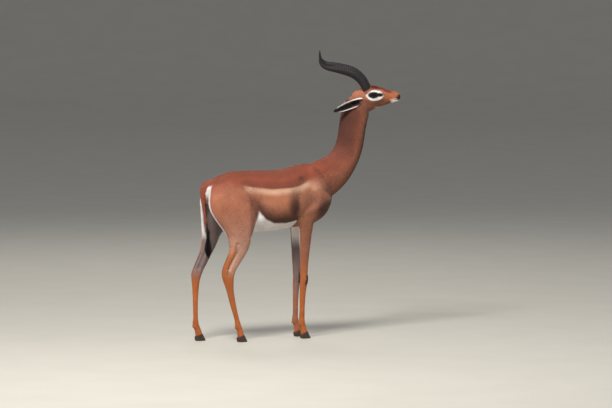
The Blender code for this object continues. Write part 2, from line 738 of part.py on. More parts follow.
def put_on_hooves(nodes):
    for name, side, rows, ahead in feet():
        _, front, back, centre, _ = rows[CORONET_ROW]
        front, back = front + ahead, back + ahead
        plane = coronet(front, back)
        flesh = nodes[name.replace("fore", "foreleg").replace("hind", "hindleg")]
        point, normal = plane
        boolean(flesh, block([(point, -normal)], -GAP / 2), "INTERSECT")
        split = bmesh.new()
        bmesh.ops.create_cube(split, size=1.0)
        size = Matrix.Diagonal((0.034, CLEFT, CLEFT_HEIGHT, 1))
        place = Vector((front + 0.004, side * centre, CLEFT_HEIGHT / 2))
        bmesh.ops.transform(split, matrix=Matrix.Translation(place) @ size, verts=split.verts)
        boolean(flesh, object_of("split", split), "DIFFERENCE")
        for toe, way in (("inner", -side), ("outer", side)):
            hoof_name = f"hoof_{name}_{toe}"
            nodes[hoof_name] = hoof(hoof_name, way, side * centre, front, back, plane)


def lock(name, root, tip, sag, width, thickness, face):
    """A flat tapered lock of hair from root to tip, bowed by sag, its flat side towards face."""
    along = tip - root
    across = along.cross(face).normalized()
    flat = across.cross(along).normalized()
    rings = []
    for share, spread in ((0.0, 0.8), (0.4, 1.0), (1.0, 0.06)):
        centre = root + along * share + sag * (4 * share * (1 - share))
        a, b = across * width / 2 * spread, flat * thickness / 2 * max(spread, 0.25)
        rings.append([centre + a, centre + b, centre - a, centre - b])
    return tube(name, rings)


def horn(side, sign):
    """One horn as stacked sections, with a raised ring about every 20 mm on its lower part."""
    frame = head_matrix()
    path = [Vector((x, sign * y, z)) for x, y, z in (tuple(p) for p in spline(HORN_POINTS, 24))]
    lengths = [0.0]
    for a, b in zip(path, path[1:]):
        lengths.append(lengths[-1] + (b - a).length)
    whole = lengths[-1]
    first, last = HORN_RINGED
    step = (last - first) / HORN_RINGS
    shares = [(0.0, 0.0), (first / 2, 0.0)]
    for k in range(HORN_RINGS):
        start = first + step * k
        shares += [(start, 0.0), (start + RING_CREST * step, 1.0)]
    shares += [(share, 0.0) for share in HORN_TIP_SHARES]
    rings = []
    for share, raised in shares:
        where = share * whole
        i = min(max(k for k, length in enumerate(lengths) if length <= where), len(path) - 2)
        t = (where - lengths[i]) / (lengths[i + 1] - lengths[i])
        centre = path[i].lerp(path[i + 1], t)
        ahead = (path[i + 1] - path[i]).normalized()
        side_way = (Vector((0, 1, 0)) - ahead * ahead.y).normalized()
        depth = side_way.cross(ahead)
        radius = float(np.interp(share, *zip(*HORN_RADII)))
        fade = min(1.0, 1.3 - share)
        ring = []
        for a, d in oval(radius * HORN_NARROWER, radius, radius, sides=12):
            bulge = raised * RING_HEIGHT * fade * (0.75 + 0.25 * d / radius) / radius
            ring.append(centre + (side_way * a + depth * d) * (1 + bulge))
        rings.append(ring)
    made = tube("horn_" + side, rings)
    made.data.transform(frame)
    return made


def ear(side, sign):
    """A long leaf-shaped cup, rolled at its root and pointed at its tip, with a fringe in its mouth."""
    root = Vector((EAR_ROOT.x, sign * EAR_ROOT.y, EAR_ROOT.z))
    tip = EAR_TIPS[side]
    along = (tip - root).normalized()
    opens = Vector((EAR_OPENS.x, sign * EAR_OPENS.y, EAR_OPENS.z))
    opens = (opens - along * opens.dot(along)).normalized()
    across = along.cross(opens)
    if across.z < 0:
        across.negate()
    rings, rims = [], []
    for k in range(EAR_ROWS):
        t = (k / (EAR_ROWS - 1)) ** 0.9
        width = EAR_HALF_WIDTH * 1.72 * (t + 0.10) ** 0.55 * (1 - 0.985 * t) ** 0.62
        spread = math.radians(np.interp(t, *EAR_SPREAD))
        radius = width / math.sin(min(spread, math.pi / 2))
        wall = EAR_WALL * (1 - 0.6 * t)
        bow = opens * (-EAR_BOW * math.sin(math.pi * t))
        centre = root + (tip - root) * t + opens * (radius - 0.25 * width) + bow
        ways = []
        for i in range(EAR_COLUMNS):
            angle = spread * (2 * i / (EAR_COLUMNS - 1) - 1)
            ways.append(across * math.sin(angle) - opens * math.cos(angle))
        outer = [centre + way * radius for way in ways]
        inner = [centre + way * max(radius - wall, 0.0004) for way in ways]
        rings.append(outer + inner[::-1])
        rims.append((inner[-1], inner[EAR_COLUMNS // 2 - 1]))
    made = tube("ear_" + side, rings)
    hairs = []
    for k in range(FRINGE_LOCKS):
        row = 2.2 + k * (EAR_ROWS - 5.2) / (FRINGE_LOCKS - 1)
        low = int(row)
        rim = rims[low][0].lerp(rims[low + 1][0], row - low)
        deep = rims[low][1].lerp(rims[low + 1][1], row - low)
        start = rim.lerp(deep, 0.10) - opens * 0.0004
        end = rim.lerp(deep, 0.55) + along * FRINGE_REACH + opens * 0.2 * FRINGE_REACH
        hairs.append(lock("hair", start, end, opens * 0.0015, *FRINGE_LOCK, opens))
    union(made, hairs, "hairs")
    made.data.transform(head_matrix())
    return made


def tuft(tail_end):
    """The black tuft at the end of the tail: a slim core and locks that fan out round it."""
    draw = random.Random(7)
    top = Vector((tail_end.x, 0, tail_end.z))
    core_rows = []
    for share, radius in TUFT_CORE:
        core_rows.append((*top.lerp(TUFT_TIP, share), radius, radius * 1.1))
    core = limb("tail_tuft", core_rows, sides=10, per_gap=2)
    hairs = []
    for k in range(TUFT_LOCKS):
        angle = 2 * math.pi * k / TUFT_LOCKS + draw.uniform(-0.15, 0.15)
        out = Vector((math.cos(angle), math.sin(angle), 0))
        share = draw.uniform(0.08, 0.55)
        start = top.lerp(TUFT_TIP, share) + out * 0.006
        reach = draw.uniform(0.42, 0.60)
        end = top.lerp(TUFT_TIP, min(share + reach, 1.0)) + out * draw.uniform(0.006, 0.013)
        hairs.append(lock("hair", start, end, out * 0.006, *TUFT_LOCK, out))
    return union(core, hairs, "hairs")


def finish(obj, name):
    """Names the piece, gives it its own material, and shades its round faces smooth."""
    obj.name = name
    obj.data.name = name
    colour, roughness = FINISHES[finish_of(name)]
    material = bpy.data.materials.new(name)
    material.use_nodes = True
    shader = material.node_tree.nodes["Principled BSDF"]
    shader.inputs["Base Color"].default_value = (*colour, 1)
    shader.inputs["Roughness"].default_value = roughness
    obj.data.materials.clear()
    obj.data.materials.append(material)
    obj.data.shade_smooth()
    obj.data.set_sharp_from_angle(angle=math.radians(50))
    obj.data.transform(Matrix.Translation(TO_ORIGIN))


def finish_of(name):
    for start, chosen in (
        ("horn", "horn"),
        ("hoof", "hoof"),
        ("eye", "eye"),
        ("ear", "ear"),
        ("tail_tuft", "black_hair"),
        ("foreleg", "coat_tan"),
        ("hindleg", "coat_tan"),
    ):
        if name.startswith(start):
            return chosen
    return "coat_red"


def make_body():
    body = joined("body", forms() + head_forms())
    fuse(body, BODY_VOXEL)
    weights = 0.2 + 0.8 * smooth_step(0.42, 0.62, points_of(body)[:, 2])
    relax(body, weights, 30)
    shape_body(body)
    relax(body, weights, 4)
    return thin_out(body, BODY_TRIANGLES)


def make_head():
    """The head and the top of the neck, fused more finely than the body."""
    neck = limb("neck_top", NECK, turn=HEAD_YAW, sides=32)
    head = joined("head", [neck, *head_forms()])
    fuse(head, HEAD_VOXEL)
    point, normal = world_plane(HEAD_CUT)
    boolean(head, block([(point + normal * 0.05, normal)], 0), "INTERSECT", "MANIFOLD")
    relax(head, np.full(len(head.data.vertices), 0.8), 10)
    shape_head(head)
    relax(head, np.full(len(head.data.vertices), 0.5), 1)
    thin_out(head, HEAD_TRIANGLES)
    return boolean(head, block([(point, normal)], -GAP / 2), "INTERSECT")


def world_plane(plane):
    frame = head_matrix()
    point, normal = plane
    return frame @ point, (frame.to_3x3() @ normal).normalized()


def open_eyes(head):
    """Cuts each socket and its almond opening, and makes the eyeball that fills it."""
    frame = head_matrix()
    eyes = {}
    for side, sign in (("right", -1), ("left", 1)):
        centre = Vector((EYE_CENTRE.x, sign * EYE_CENTRE.y, EYE_CENTRE.z))
        looks = Vector((EYE_LOOKS.x, sign * EYE_LOOKS.y, EYE_LOOKS.z)).normalized()
        socket = ball("socket", centre, [EYE_RADIUS + GAP] * 3, u=16, v=10)
        ahead = (Vector((1, 0, 0)) - looks * looks.x).normalized()
        up = ahead.cross(looks) * sign
        rings = []
        for depth in (0.35 * EYE_RADIUS, 1.6 * EYE_RADIUS):
            ring = []
            for i in range(20):
                angle = 2 * math.pi * i / 20
                c, s = math.cos(angle), math.sin(angle)
                point = ahead * LID_OPENING[0] * c + up * LID_OPENING[1] * s * (1 - 0.25 * c * c)
                ring.append(centre + looks * depth + point)
            rings.append(ring)
        boolean(socket, tube("opening", rings), "UNION")
        socket.data.transform(frame)
        boolean(head, socket, "DIFFERENCE")
        eyes["eye_" + side] = ball("eye_" + side, centre, [EYE_RADIUS] * 3, u=16, v=10)
        eyes["eye_" + side].data.transform(frame)
    return eyes


def main():
    clear_scene()
    nodes = {}
    body = make_body()
    boolean(body, block([world_plane(HEAD_CUT)], GAP / 2), "DIFFERENCE")
    nodes["neck"] = part_off(body, "neck", [NECK_CUT])
    for side, sign in (("right", -1), ("left", 1)):
        for limb_name, cuts in (("foreleg", FORE_CUTS), ("hindleg", HIND_CUTS)):
            planes = [(p, Vector((n.x, sign * n.y, n.z))) for p, n in cuts]
            nodes[f"{limb_name}_{side}"] = part_off(body, f"{limb_name}_{side}", planes)
    nodes["torso"] = body
    put_on_hooves(nodes)

    head = make_head()
    nodes.update(open_eyes(head))
    nodes["head"] = head
    for side, sign in (("right", -1), ("left", 1)):
        for made in (horn(side, sign), ear(side, sign)):
            nodes[made.name] = boolean(made, grown(head, "clear", GAP), "DIFFERENCE")
        boolean(nodes["ear_" + side], grown(nodes["neck"], "clear", GAP), "DIFFERENCE")

    tail_rows = [(x, 0, z, thickness, width) for x, z, width, thickness in TAIL]
    tail = limb("tail", tail_rows, sides=12, per_gap=2)
    boolean(tail, block([(Vector((0, 0, TUFT_TOP)), Vector((0, 0, -1)))], -GAP / 2), "INTERSECT")
    nodes["tail"] = boolean(tail, grown(body, "clear", GAP), "DIFFERENCE")
    hair = tuft(Vector((TAIL[-1][0] - 0.004, 0, TUFT_TOP + 0.004)))
    nodes["tail_tuft"] = boolean(
        hair, block([(Vector((0, 0, TUFT_TOP)), Vector((0, 0, 1)))], -GAP / 2), "INTERSECT"
    )
    for name, obj in nodes.items():
        finish(obj, name)


if __name__ == "__main__":
    main()
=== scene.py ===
# %% [markdown]
# # A gerenuk at life size
#
# A gerenuk is a long-necked antelope. This lesson dresses its solid model, which comes as a frame of
# named pieces at their real size and place. The solids carry the build. Here they get one skin, a
# short coat, ringed horns, wet eyes and long hair. Nothing in the frame is moved: each new piece is
# worked out from the places of the old ones.

# %% Load the solid model as the frame
import json
import math

import bmesh
import bpy
import numpy as np
from mathutils import Matrix, Vector
from mathutils.bvhtree import BVHTree

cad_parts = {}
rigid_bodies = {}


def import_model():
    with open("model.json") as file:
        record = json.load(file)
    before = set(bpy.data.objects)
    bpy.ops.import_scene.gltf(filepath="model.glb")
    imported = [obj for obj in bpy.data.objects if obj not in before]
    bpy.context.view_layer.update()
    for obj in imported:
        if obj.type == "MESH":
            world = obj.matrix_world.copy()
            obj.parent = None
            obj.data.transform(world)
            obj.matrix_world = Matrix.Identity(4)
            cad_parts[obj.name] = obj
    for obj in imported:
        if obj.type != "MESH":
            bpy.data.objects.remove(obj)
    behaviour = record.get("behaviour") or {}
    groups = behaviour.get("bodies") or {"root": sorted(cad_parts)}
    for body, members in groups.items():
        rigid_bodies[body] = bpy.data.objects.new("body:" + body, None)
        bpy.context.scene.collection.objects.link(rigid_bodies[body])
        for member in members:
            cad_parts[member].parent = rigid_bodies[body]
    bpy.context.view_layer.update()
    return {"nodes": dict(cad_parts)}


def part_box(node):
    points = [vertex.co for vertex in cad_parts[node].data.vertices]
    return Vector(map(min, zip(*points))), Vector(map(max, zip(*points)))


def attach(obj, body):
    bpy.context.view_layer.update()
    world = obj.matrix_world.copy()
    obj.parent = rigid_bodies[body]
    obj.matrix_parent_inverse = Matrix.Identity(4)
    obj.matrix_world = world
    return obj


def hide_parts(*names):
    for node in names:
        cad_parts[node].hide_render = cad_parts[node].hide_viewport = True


for thing in list(bpy.data.objects):
    bpy.data.objects.remove(thing)
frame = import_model()
nodes = frame["nodes"]

# %% [markdown]
# ## Where the head is
#
# The face is drawn in the head's own axes: x to the nose, y to the animal's left, z up. The head is
# turned and tilted, so its axes are read from the two eyeballs, which nothing hides. The line
# between them is the head's y axis, and its x axis is level.

# %% Read the head's axes from the eyes
EYE_PLACE = Vector((-0.002, 0.0295, 0.006))  # an eye's centre in the head's axes
EYE_RADIUS = 0.0165
HEAD_IN_DRAWING = Vector((0.426, -0.070, 1.313))  # the head's origin as the body is drawn


def middle_of(name):
    low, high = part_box(name)
    return (low + high) / 2


left_eye, right_eye = middle_of("eye_left"), middle_of("eye_right")
head_y = (left_eye - right_eye).normalized()
head_x = head_y.cross(Vector((0, 0, 1))).normalized()
head_turn = Matrix((head_x, head_y, head_x.cross(head_y))).transposed()
head_origin = (left_eye + right_eye) / 2 - head_turn @ Vector((EYE_PLACE.x, 0, EYE_PLACE.z))
head_frame = Matrix.Translation(head_origin) @ head_turn.to_4x4()
DRAWN_FROM = head_origin - HEAD_IN_DRAWING  # the body's middle plane and withers, in the frame
print("head at", [round(v, 4) for v in head_origin], "drawing from", [round(v, 4) for v in DRAWN_FROM])

# %% [markdown]
# ## Small tools for meshes
#
# Most shapes here are moved in code, point by point, as a sculptor would with a soft brush. NumPy
# does that for a hundred thousand points at once. These helpers read and write the points of a
# mesh, follow a smooth curve, and make a mesh from points and faces.


# %% Read and write a mesh's points
def points_of(obj):
    points = np.empty(len(obj.data.vertices) * 3, np.float32)
    obj.data.vertices.foreach_get("co", points)
    return points.reshape(-1, 3).astype(float)


def normals_of(obj):
    normals = np.empty(len(obj.data.vertices) * 3, np.float32)
    obj.data.vertex_normals.foreach_get("vector", normals)
    return normals.reshape(-1, 3).astype(float)


def set_points(obj, points):
    obj.data.vertices.foreach_set("co", points.astype(np.float32).ravel())
    obj.data.update()


def object_of(name, mesh):
    obj = bpy.data.objects.new(name, mesh)
    bpy.context.scene.collection.objects.link(obj)
    return obj


def object_from(name, bm):
    mesh = bpy.data.meshes.new(name)
    bm.to_mesh(mesh)
    bm.free()
    return object_of(name, mesh)


def applied(obj):
    """The object with its modifiers made part of its mesh."""
    graph = bpy.context.evaluated_depsgraph_get()
    mesh = bpy.data.meshes.new_from_object(obj.evaluated_get(graph))
    obj.modifiers.clear()
    obj.data = mesh
    return obj


def triangles(obj):
    obj.data.calc_loop_triangles()
    return len(obj.data.loop_triangles)


# %% Follow curves and measure from them
def spline(rows, per_gap):
    """Rows of numbers read from a smooth curve through the given ones."""
    rows = np.array(rows, float)
    padded = np.vstack([2 * rows[0] - rows[1], rows, 2 * rows[-1] - rows[-2]])
    made = []
    for p0, p1, p2, p3 in zip(padded, padded[1:], padded[2:], padded[3:]):
        for t in np.arange(per_gap) / per_gap:
            bend = (2 * p0 - 5 * p1 + 4 * p2 - p3) * t**2 + (3 * p1 - p0 - 3 * p2 + p3) * t**3
            made.append(0.5 * (2 * p1 + (p2 - p0) * t + bend))
    return np.array([*made, rows[-1]])


def distance_to(points, path):
    """How far each point lies from a path of straight runs."""
    nearest = np.full(len(points), np.inf)
    for start, end in zip(path, path[1:]):
        run = end - start
        share = np.clip((points - start) @ run / (run @ run), 0, 1)
        away = np.linalg.norm(points - start - share[:, None] * run, axis=1)
        nearest = np.minimum(nearest, away)
    return nearest


def smooth_step(low, high, values):
    t = np.clip((values - low) / (high - low), 0, 1)
    return t * t * (3 - 2 * t)


def neighbours(obj):
    """Both ends of each edge, and how many edges meet at each point."""
    edges = np.empty(len(obj.data.edges) * 2, np.int32)
    obj.data.edges.foreach_get("vertices", edges)
    count = np.bincount(edges, minlength=len(obj.data.vertices))[:, None]
    return (*edges.reshape(-1, 2).T, np.maximum(count, 1))


def average(values, a, b, count):
    """Each point's values averaged over the points next to it."""
    total = np.zeros_like(values)
    for axis in range(values.shape[1]):
        total[:, axis] += np.bincount(a, values[b, axis], len(values))
        total[:, axis] += np.bincount(b, values[a, axis], len(values))
    return total / count


PULL_IN, PUSH_OUT = 0.5, -0.51  # how far a point goes to its neighbours' average, and back


def relax(obj, rounds, weights=1.0):
    """Evens a mesh out and keeps its volume: each step in is followed by a step out."""
    weights = np.broadcast_to(weights, len(obj.data.vertices))[:, None]
    linked = neighbours(obj)
    points = points_of(obj)
    for step in range(2 * rounds):
        factor = PULL_IN if step % 2 == 0 else PUSH_OUT
        points += factor * weights * (average(points, *linked) - points)
    set_points(obj, points)
    return obj


# %% Join rings of points
def circle(middle, radius, height, count):
    """Places round a level circle."""
    turns = [2 * math.pi * i / count for i in range(count)]
    return [(middle[0] + radius * math.cos(a), middle[1] + radius * math.sin(a), height) for a in turns]


def loft(bm, rings, ends=(0, -1)):
    """Faces from each closed ring of points to the next, and over the ends."""
    for low, high in zip(rings, rings[1:]):
        for i in range(len(low)):
            j = (i + 1) % len(low)
            bm.faces.new((low[i], low[j], high[j], high[i]))
    for end in ends:
        bm.faces.new(rings[end])


# %% [markdown]
# ## One skin from many solids
#
# The solids meet at thin cuts, which a real animal doesn't show. A voxel remesh makes one surface
# of all that overlap: it lays a fine grid over the pieces and wraps what is inside. The trunk is
# large and plain, the legs are slim, and the face has lids and lips, so each gets a grid of its
# own, and the three are cut square and joined. The facets of the solids are then relaxed away.

# %% Wrap solids in one surface
SWELL = 0.0004  # closes the 0.3 mm that the solids keep between them
LEGS = ["foreleg_left", "foreleg_right", "hindleg_left", "hindleg_right"]
EARS = ["ear_left", "ear_right"]
BODY = ["torso", "neck", *LEGS, "tail"]
LEG_TOP = 0.565  # the height where the legs leave the trunk
HEAD_CUT_POINT = Vector((-0.100, 0.0, -0.078))  # across the throat, in the head's axes
HEAD_CUT_FACES = Vector((-0.70, 0.0, -0.71))
TRUNK_GRID, LEG_GRID, HEAD_GRID = (0.0068, 34), (0.0038, 24), (0.0021, 6)  # voxel, rounds of relaxing


def flesh(names):
    """Solids welded, swollen a little so that they overlap, and put in one mesh."""
    bm = bmesh.new()
    for name in names:
        start = len(bm.verts)
        bm.from_mesh(nodes[name].data)
        bm.verts.ensure_lookup_table()
        bmesh.ops.remove_doubles(bm, verts=bm.verts[start:], dist=1e-6)
    bm.normal_update()
    for vert in bm.verts:
        vert.co += vert.normal * SWELL
    return object_from("flesh", bm)


def wrapped(obj, voxel, rounds):
    """One surface round all that a mesh holds, with its facets relaxed away."""
    remesh = obj.modifiers.new("wrap", "REMESH")
    remesh.mode = "VOXEL"
    remesh.voxel_size = voxel
    return relax(applied(obj), rounds)


# %% Cut and join closed meshes
def cut_square(obj, point, facing):
    """Keeps what lies behind a plane, and closes the cut."""
    bm = bmesh.new()
    bm.from_mesh(obj.data)
    everything = bm.verts[:] + bm.edges[:] + bm.faces[:]
    bmesh.ops.bisect_plane(bm, geom=everything, plane_co=point, plane_no=facing, clear_outer=True)
    rim = [edge for edge in bm.edges if edge.is_boundary]
    bmesh.ops.holes_fill(bm, edges=rim, sides=0)
    bmesh.ops.triangulate(bm, faces=bm.faces)
    bmesh.ops.recalc_face_normals(bm, faces=bm.faces)
    bm.to_mesh(obj.data)
    bm.free()
    return obj


def united(obj, other):
    """Both closed meshes as one."""
    join = obj.modifiers.new("join", "BOOLEAN")
    join.operation = "UNION"
    join.solver = "MANIFOLD"
    join.object = other
    applied(obj)
    bpy.data.objects.remove(other)
    return obj


# %% Fuse the flesh in three regions
cut_point = head_frame @ HEAD_CUT_POINT
cut_faces = head_turn @ HEAD_CUT_FACES.normalized()
leg_cut = Vector((0, 0, LEG_TOP))
upward = Vector((0, 0, 1))
trunk = wrapped(flesh([*BODY, "head"]), *TRUNK_GRID)
cut_square(trunk, cut_point - cut_faces * SWELL, -cut_faces)
cut_square(trunk, leg_cut - upward * SWELL, -upward)
legs = cut_square(wrapped(flesh([*LEGS, "torso", "tail"]), *LEG_GRID), leg_cut, upward)
head = cut_square(wrapped(flesh(["head", "neck"]), *HEAD_GRID), cut_point, cut_faces)
print("trunk", triangles(trunk), "legs", triangles(legs), "head", triangles(head))
skin = united(united(trunk, legs), head)
skin.name = "skin"
print("skin", triangles(skin), "triangles")

# %% [markdown]
# ## Ears as thin leaves
#
# An ear is a thin cupped leaf, and a voxel grid would leave it lumpy. So each is lofted from
# sections across it, as in the solids but finer: an arc for the outside, and a smaller arc back
# for the inside. Each is joined to the head's skin, so that no seam shows at its root.

# %% Loft the ears
EAR_ROOT = Vector((-0.060, 0.017, -0.018))
EAR_OPENS = Vector((0.25, 1.0, -0.10))
EAR_TIPS = {"right": Vector((-0.217, -0.098, -0.072)), "left": Vector((-0.178, 0.134, -0.092))}
EAR_HALF_WIDTH, EAR_WALL, EAR_BOW = 0.0270, 0.0030, 0.003
EAR_CUPPING = ((0, 0.15, 0.45, 1), (150, 128, 88, 62))  # share of the length, half the arc in degrees
EAR_ROWS, EAR_COLUMNS = 46, 19
SIDES = {"right": -1, "left": 1}


def ear_axes(side):
    """Root, tip, and the ways along the ear, out of its cup and across it, in the head's axes."""
    mirror = Vector((1, SIDES[side], 1))
    root, tip = EAR_ROOT * mirror, EAR_TIPS[side]
    along = (tip - root).normalized()
    opens = EAR_OPENS * mirror
    opens = (opens - along * opens.dot(along)).normalized()
    across = along.cross(opens)
    return root, tip, along, opens, across if across.z > 0 else -across


def ear_width(t):
    """Half the leaf's width: it widens fast from the root and narrows to a blunt tip."""
    return EAR_HALF_WIDTH * 1.72 * (t + 0.10) ** 0.55 * (1 - 0.985 * t) ** 0.62


def ear(side):
    root, tip, along, opens, across = ear_axes(side)
    bm = bmesh.new()
    rings = []
    for row in range(EAR_ROWS):
        t = (row / (EAR_ROWS - 1)) ** 0.9
        spread = math.radians(np.interp(t, *EAR_CUPPING))
        radius = ear_width(t) / math.sin(min(spread, math.pi / 2))
        wall = EAR_WALL * (1 - 0.6 * t)
        rise = radius - 0.25 * ear_width(t) - EAR_BOW * math.sin(math.pi * t)
        centre = root.lerp(tip, t) + opens * rise
        turns = [spread * (2 * i / (EAR_COLUMNS - 1) - 1) for i in range(EAR_COLUMNS)]
        ways = [across * math.sin(turn) - opens * math.cos(turn) for turn in turns]
        outer = [centre + way * radius for way in ways]
        inner = [centre + way * max(radius - wall, 0.0004) for way in reversed(ways)]
        rings.append([bm.verts.new(head_frame @ point) for point in outer + inner])
    loft(bm, rings)
    bmesh.ops.triangulate(bm, faces=bm.faces)
    bmesh.ops.recalc_face_normals(bm, faces=bm.faces)
    return object_from("ear", bm)


for side in SIDES:
    united(skin, ear(side))
print("skin with ears", triangles(skin), "triangles")

# %% [markdown]
# ## Whose skin is it
#
# Later steps need to know what each point of the skin belongs to: the coat is shorter on a leg than
# on the flank, and hair on an ear points to its tip. The nearest solid piece says so. A BVH tree
# finds the nearest of seventeen thousand faces in a few steps for each point.

# %% Ask each point which solid is nearest
OWNERS = [*BODY, "head", *EARS]
corners, faces, face_owner = [], [], []
for index, name in enumerate(OWNERS):
    mesh = nodes[name].data
    offset = len(corners)
    corners += [vert.co.copy() for vert in mesh.vertices]
    faces += [[offset + v for v in poly.vertices] for poly in mesh.polygons]
    face_owner += [index] * len(mesh.polygons)
solids = BVHTree.FromPolygons(corners, faces)


def owners_of(points):
    return np.array([face_owner[solids.find_nearest(Vector(p))[2]] for p in points])


def owned_by(*names):
    return np.isin(owner, [OWNERS.index(name) for name in names])


def from_cuts(points):
    """How far points lie from the level cut over the legs, and from the cut across the throat."""
    return np.abs(points[:, 2] - LEG_TOP), np.abs((points - np.array(cut_point)) @ np.array(cut_faces))


owner = owners_of(points_of(skin))
from_leg_cut, from_throat_cut = from_cuts(points_of(skin))
at_seam = (from_throat_cut < 0.010) | (from_leg_cut < 0.012)
relax(skin, 6, at_seam & owned_by(*BODY, "head"))
print({name: int(owned_by(name).sum()) for name in OWNERS})

# %% [markdown]
# ## Room for the coat, and the finer forms
#
# The solids end at the tips of the hair, so the skin sinks by the coat's depth. Then soft strokes
# add what the solids leave out: folds round the eyes, the slit of each nostril, the line of the
# mouth, muscles and veins. A stroke moves points along their normals, most on its path and less
# towards its edge, like a thumb in clay.

# %% Sink the skin by the coat's depth
COAT_DEPTH = {
    "torso": 0.0022, "neck": 0.0020, "tail": 0.0012, "head": 0.0008, "ear_left": 0, "ear_right": 0,
}
LEG_DEPTH = 0.0012
head_axes = np.array(head_turn)  # its columns are the head's own axes


def in_head(points):
    return (points - np.array(head_origin)) @ head_axes


def mirrored(path):
    """A stroke's path on the animal's left, then on its right."""
    for sign in (1, -1):
        yield np.array([(x, sign * y, z) for x, y, z in path])


def from_eye(h):
    """How far points in the head's axes lie from the middle of the nearer eye."""
    return np.linalg.norm(h * (1, 0, 1) + np.abs(h) * (0, 1, 0) - np.array(EYE_PLACE), axis=1)


points = points_of(skin)
depth = np.array([COAT_DEPTH.get(name, LEG_DEPTH) for name in OWNERS])[owner]
depth = depth * smooth_step(0.020, 0.026, from_eye(in_head(points)))
linked = neighbours(skin)
for _ in range(12):
    depth = np.minimum(depth, average(depth[:, None], *linked)[:, 0])
set_points(skin, points - normals_of(skin) * depth[:, None])
print("sunk by", round(float(depth.min()), 4), "to", round(float(depth.max()), 4), "m")

# %% The strokes
FACE_STROKES = {  # path in the head's axes, reach, height above the skin
    "upper lid fold": (
        [(-0.020, 0.044, 0.015), (-0.004, 0.047, 0.0215), (0.014, 0.043, 0.017)], 0.0045, -0.0014,
    ),
    "lower lid fold": (
        [(-0.020, 0.042, -0.006), (-0.003, 0.045, -0.0120), (0.014, 0.041, -0.0055)], 0.0045, -0.0010,
    ),
    "tear line": (
        [(0.0150, 0.0400, 0.004), (0.024, 0.037, 0.001), (0.036, 0.033, -0.003)], 0.0040, -0.0015,
    ),
    "cheek vein": (
        [(0.060, 0.026, -0.010), (0.045, 0.031, -0.024), (0.030, 0.033, -0.040)], 0.0040, 0.0007,
    ),
    "mouth line": (
        [(0.146, 0.0, -0.0180), (0.138, 0.0135, -0.0195), (0.118, 0.0205, -0.023), (0.088, 0.024, -0.028)],
        0.0040, -0.0020,
    ),
    "nostril": (
        [(0.1455, 0.0070, -0.0068), (0.1415, 0.0125, -0.0020), (0.134, 0.0160, 0.0030)], 0.0048, -0.0034,
    ),
    "nostril's rim": (
        [(0.1450, 0.0130, -0.0080), (0.1370, 0.0180, -0.0030), (0.130, 0.0190, 0.0030)], 0.0040, 0.0009,
    ),
    "lip's edge": (
        [(0.1400, 0.0150, -0.0160), (0.120, 0.0218, -0.0195), (0.095, 0.0245, -0.0240)], 0.0040, 0.0006,
    ),
    "groove of the nose": ([(0.1465, 0.0, -0.016), (0.1470, 0.0, -0.008)], 0.0030, -0.0012),
    "jaw's edge": (
        [(-0.060, 0.030, -0.084), (-0.020, 0.030, -0.080), (0.030, 0.024, -0.062)], 0.0100, 0.0010,
    ),
}
BODY_STROKES = {  # path in the body's axes as drawn, reach, height above the skin
    "shoulder blade's ridge": (
        [(0.060, 0.050, 0.915), (0.085, 0.075, 0.850), (0.105, 0.090, 0.780)], 0.018, 0.0020,
    ),
    "in front of the shoulder": (
        [(0.110, 0.072, 0.900), (0.150, 0.085, 0.830), (0.165, 0.078, 0.770)], 0.022, -0.0022,
    ),
    "upper arm's muscle": (
        [(0.110, 0.100, 0.735), (0.050, 0.105, 0.700), (0.000, 0.100, 0.680)], 0.024, 0.0022,
    ),
    "fold at the flank": (
        [(-0.290, 0.098, 0.700), (-0.262, 0.100, 0.650), (-0.250, 0.095, 0.615)], 0.016, 0.0026,
    ),
    "thigh's front edge": (
        [(-0.350, 0.098, 0.820), (-0.300, 0.108, 0.740), (-0.285, 0.110, 0.670)], 0.024, 0.0022,
    ),
    "thigh's muscle": (
        [(-0.430, 0.098, 0.830), (-0.405, 0.115, 0.750), (-0.400, 0.112, 0.670)], 0.030, 0.0026,
    ),
    "crease before the shoulder": (
        [(0.085, 0.045, 0.930), (0.115, 0.065, 0.885), (0.150, 0.085, 0.820)], 0.013, -0.0022,
    ),
    "ham's furrow": (
        [(-0.495, 0.080, 0.800), (-0.470, 0.102, 0.720), (-0.440, 0.105, 0.640)], 0.014, -0.0024,
    ),
    "shin's muscle": (
        [(-0.400, 0.100, 0.640), (-0.420, 0.100, 0.580), (-0.440, 0.092, 0.520)], 0.018, 0.0018,
    ),
    "behind the elbow": (
        [(-0.040, 0.100, 0.760), (-0.052, 0.105, 0.700), (-0.045, 0.095, 0.655)], 0.020, -0.0026,
    ),
    "edge of the ribs": (
        [(-0.200, 0.112, 0.790), (-0.225, 0.112, 0.730), (-0.215, 0.100, 0.680)], 0.026, -0.0018,
    ),
    "windpipe": ([(0.325, 0.030, 0.960), (0.375, 0.026, 1.060), (0.388, 0.014, 1.160)], 0.018, 0.0012),
    "neck's furrow": (
        [(0.205, 0.060, 0.900), (0.290, 0.050, 0.980), (0.330, 0.042, 1.080), (0.345, 0.030, 1.180)],
        0.020, -0.0022,
    ),
}
print("strokes on each side:", len(FACE_STROKES), "on the face and", len(BODY_STROKES), "on the body")


# %% Sculpt with the strokes
def stroked(strokes, places, axes, parts):
    """Points moved along the skin's normals by strokes, each made on both sides."""
    normals, touched = normals_of(skin) @ axes, owned_by(*parts)
    for path, reach, height in strokes.values():
        for one_side in mirrored(path):
            near = np.clip(distance_to(places, spline(one_side, 6)) / reach, 0, 1)
            places += normals * (height * (1 - near**2) ** 2 * touched)[:, None]
    return places


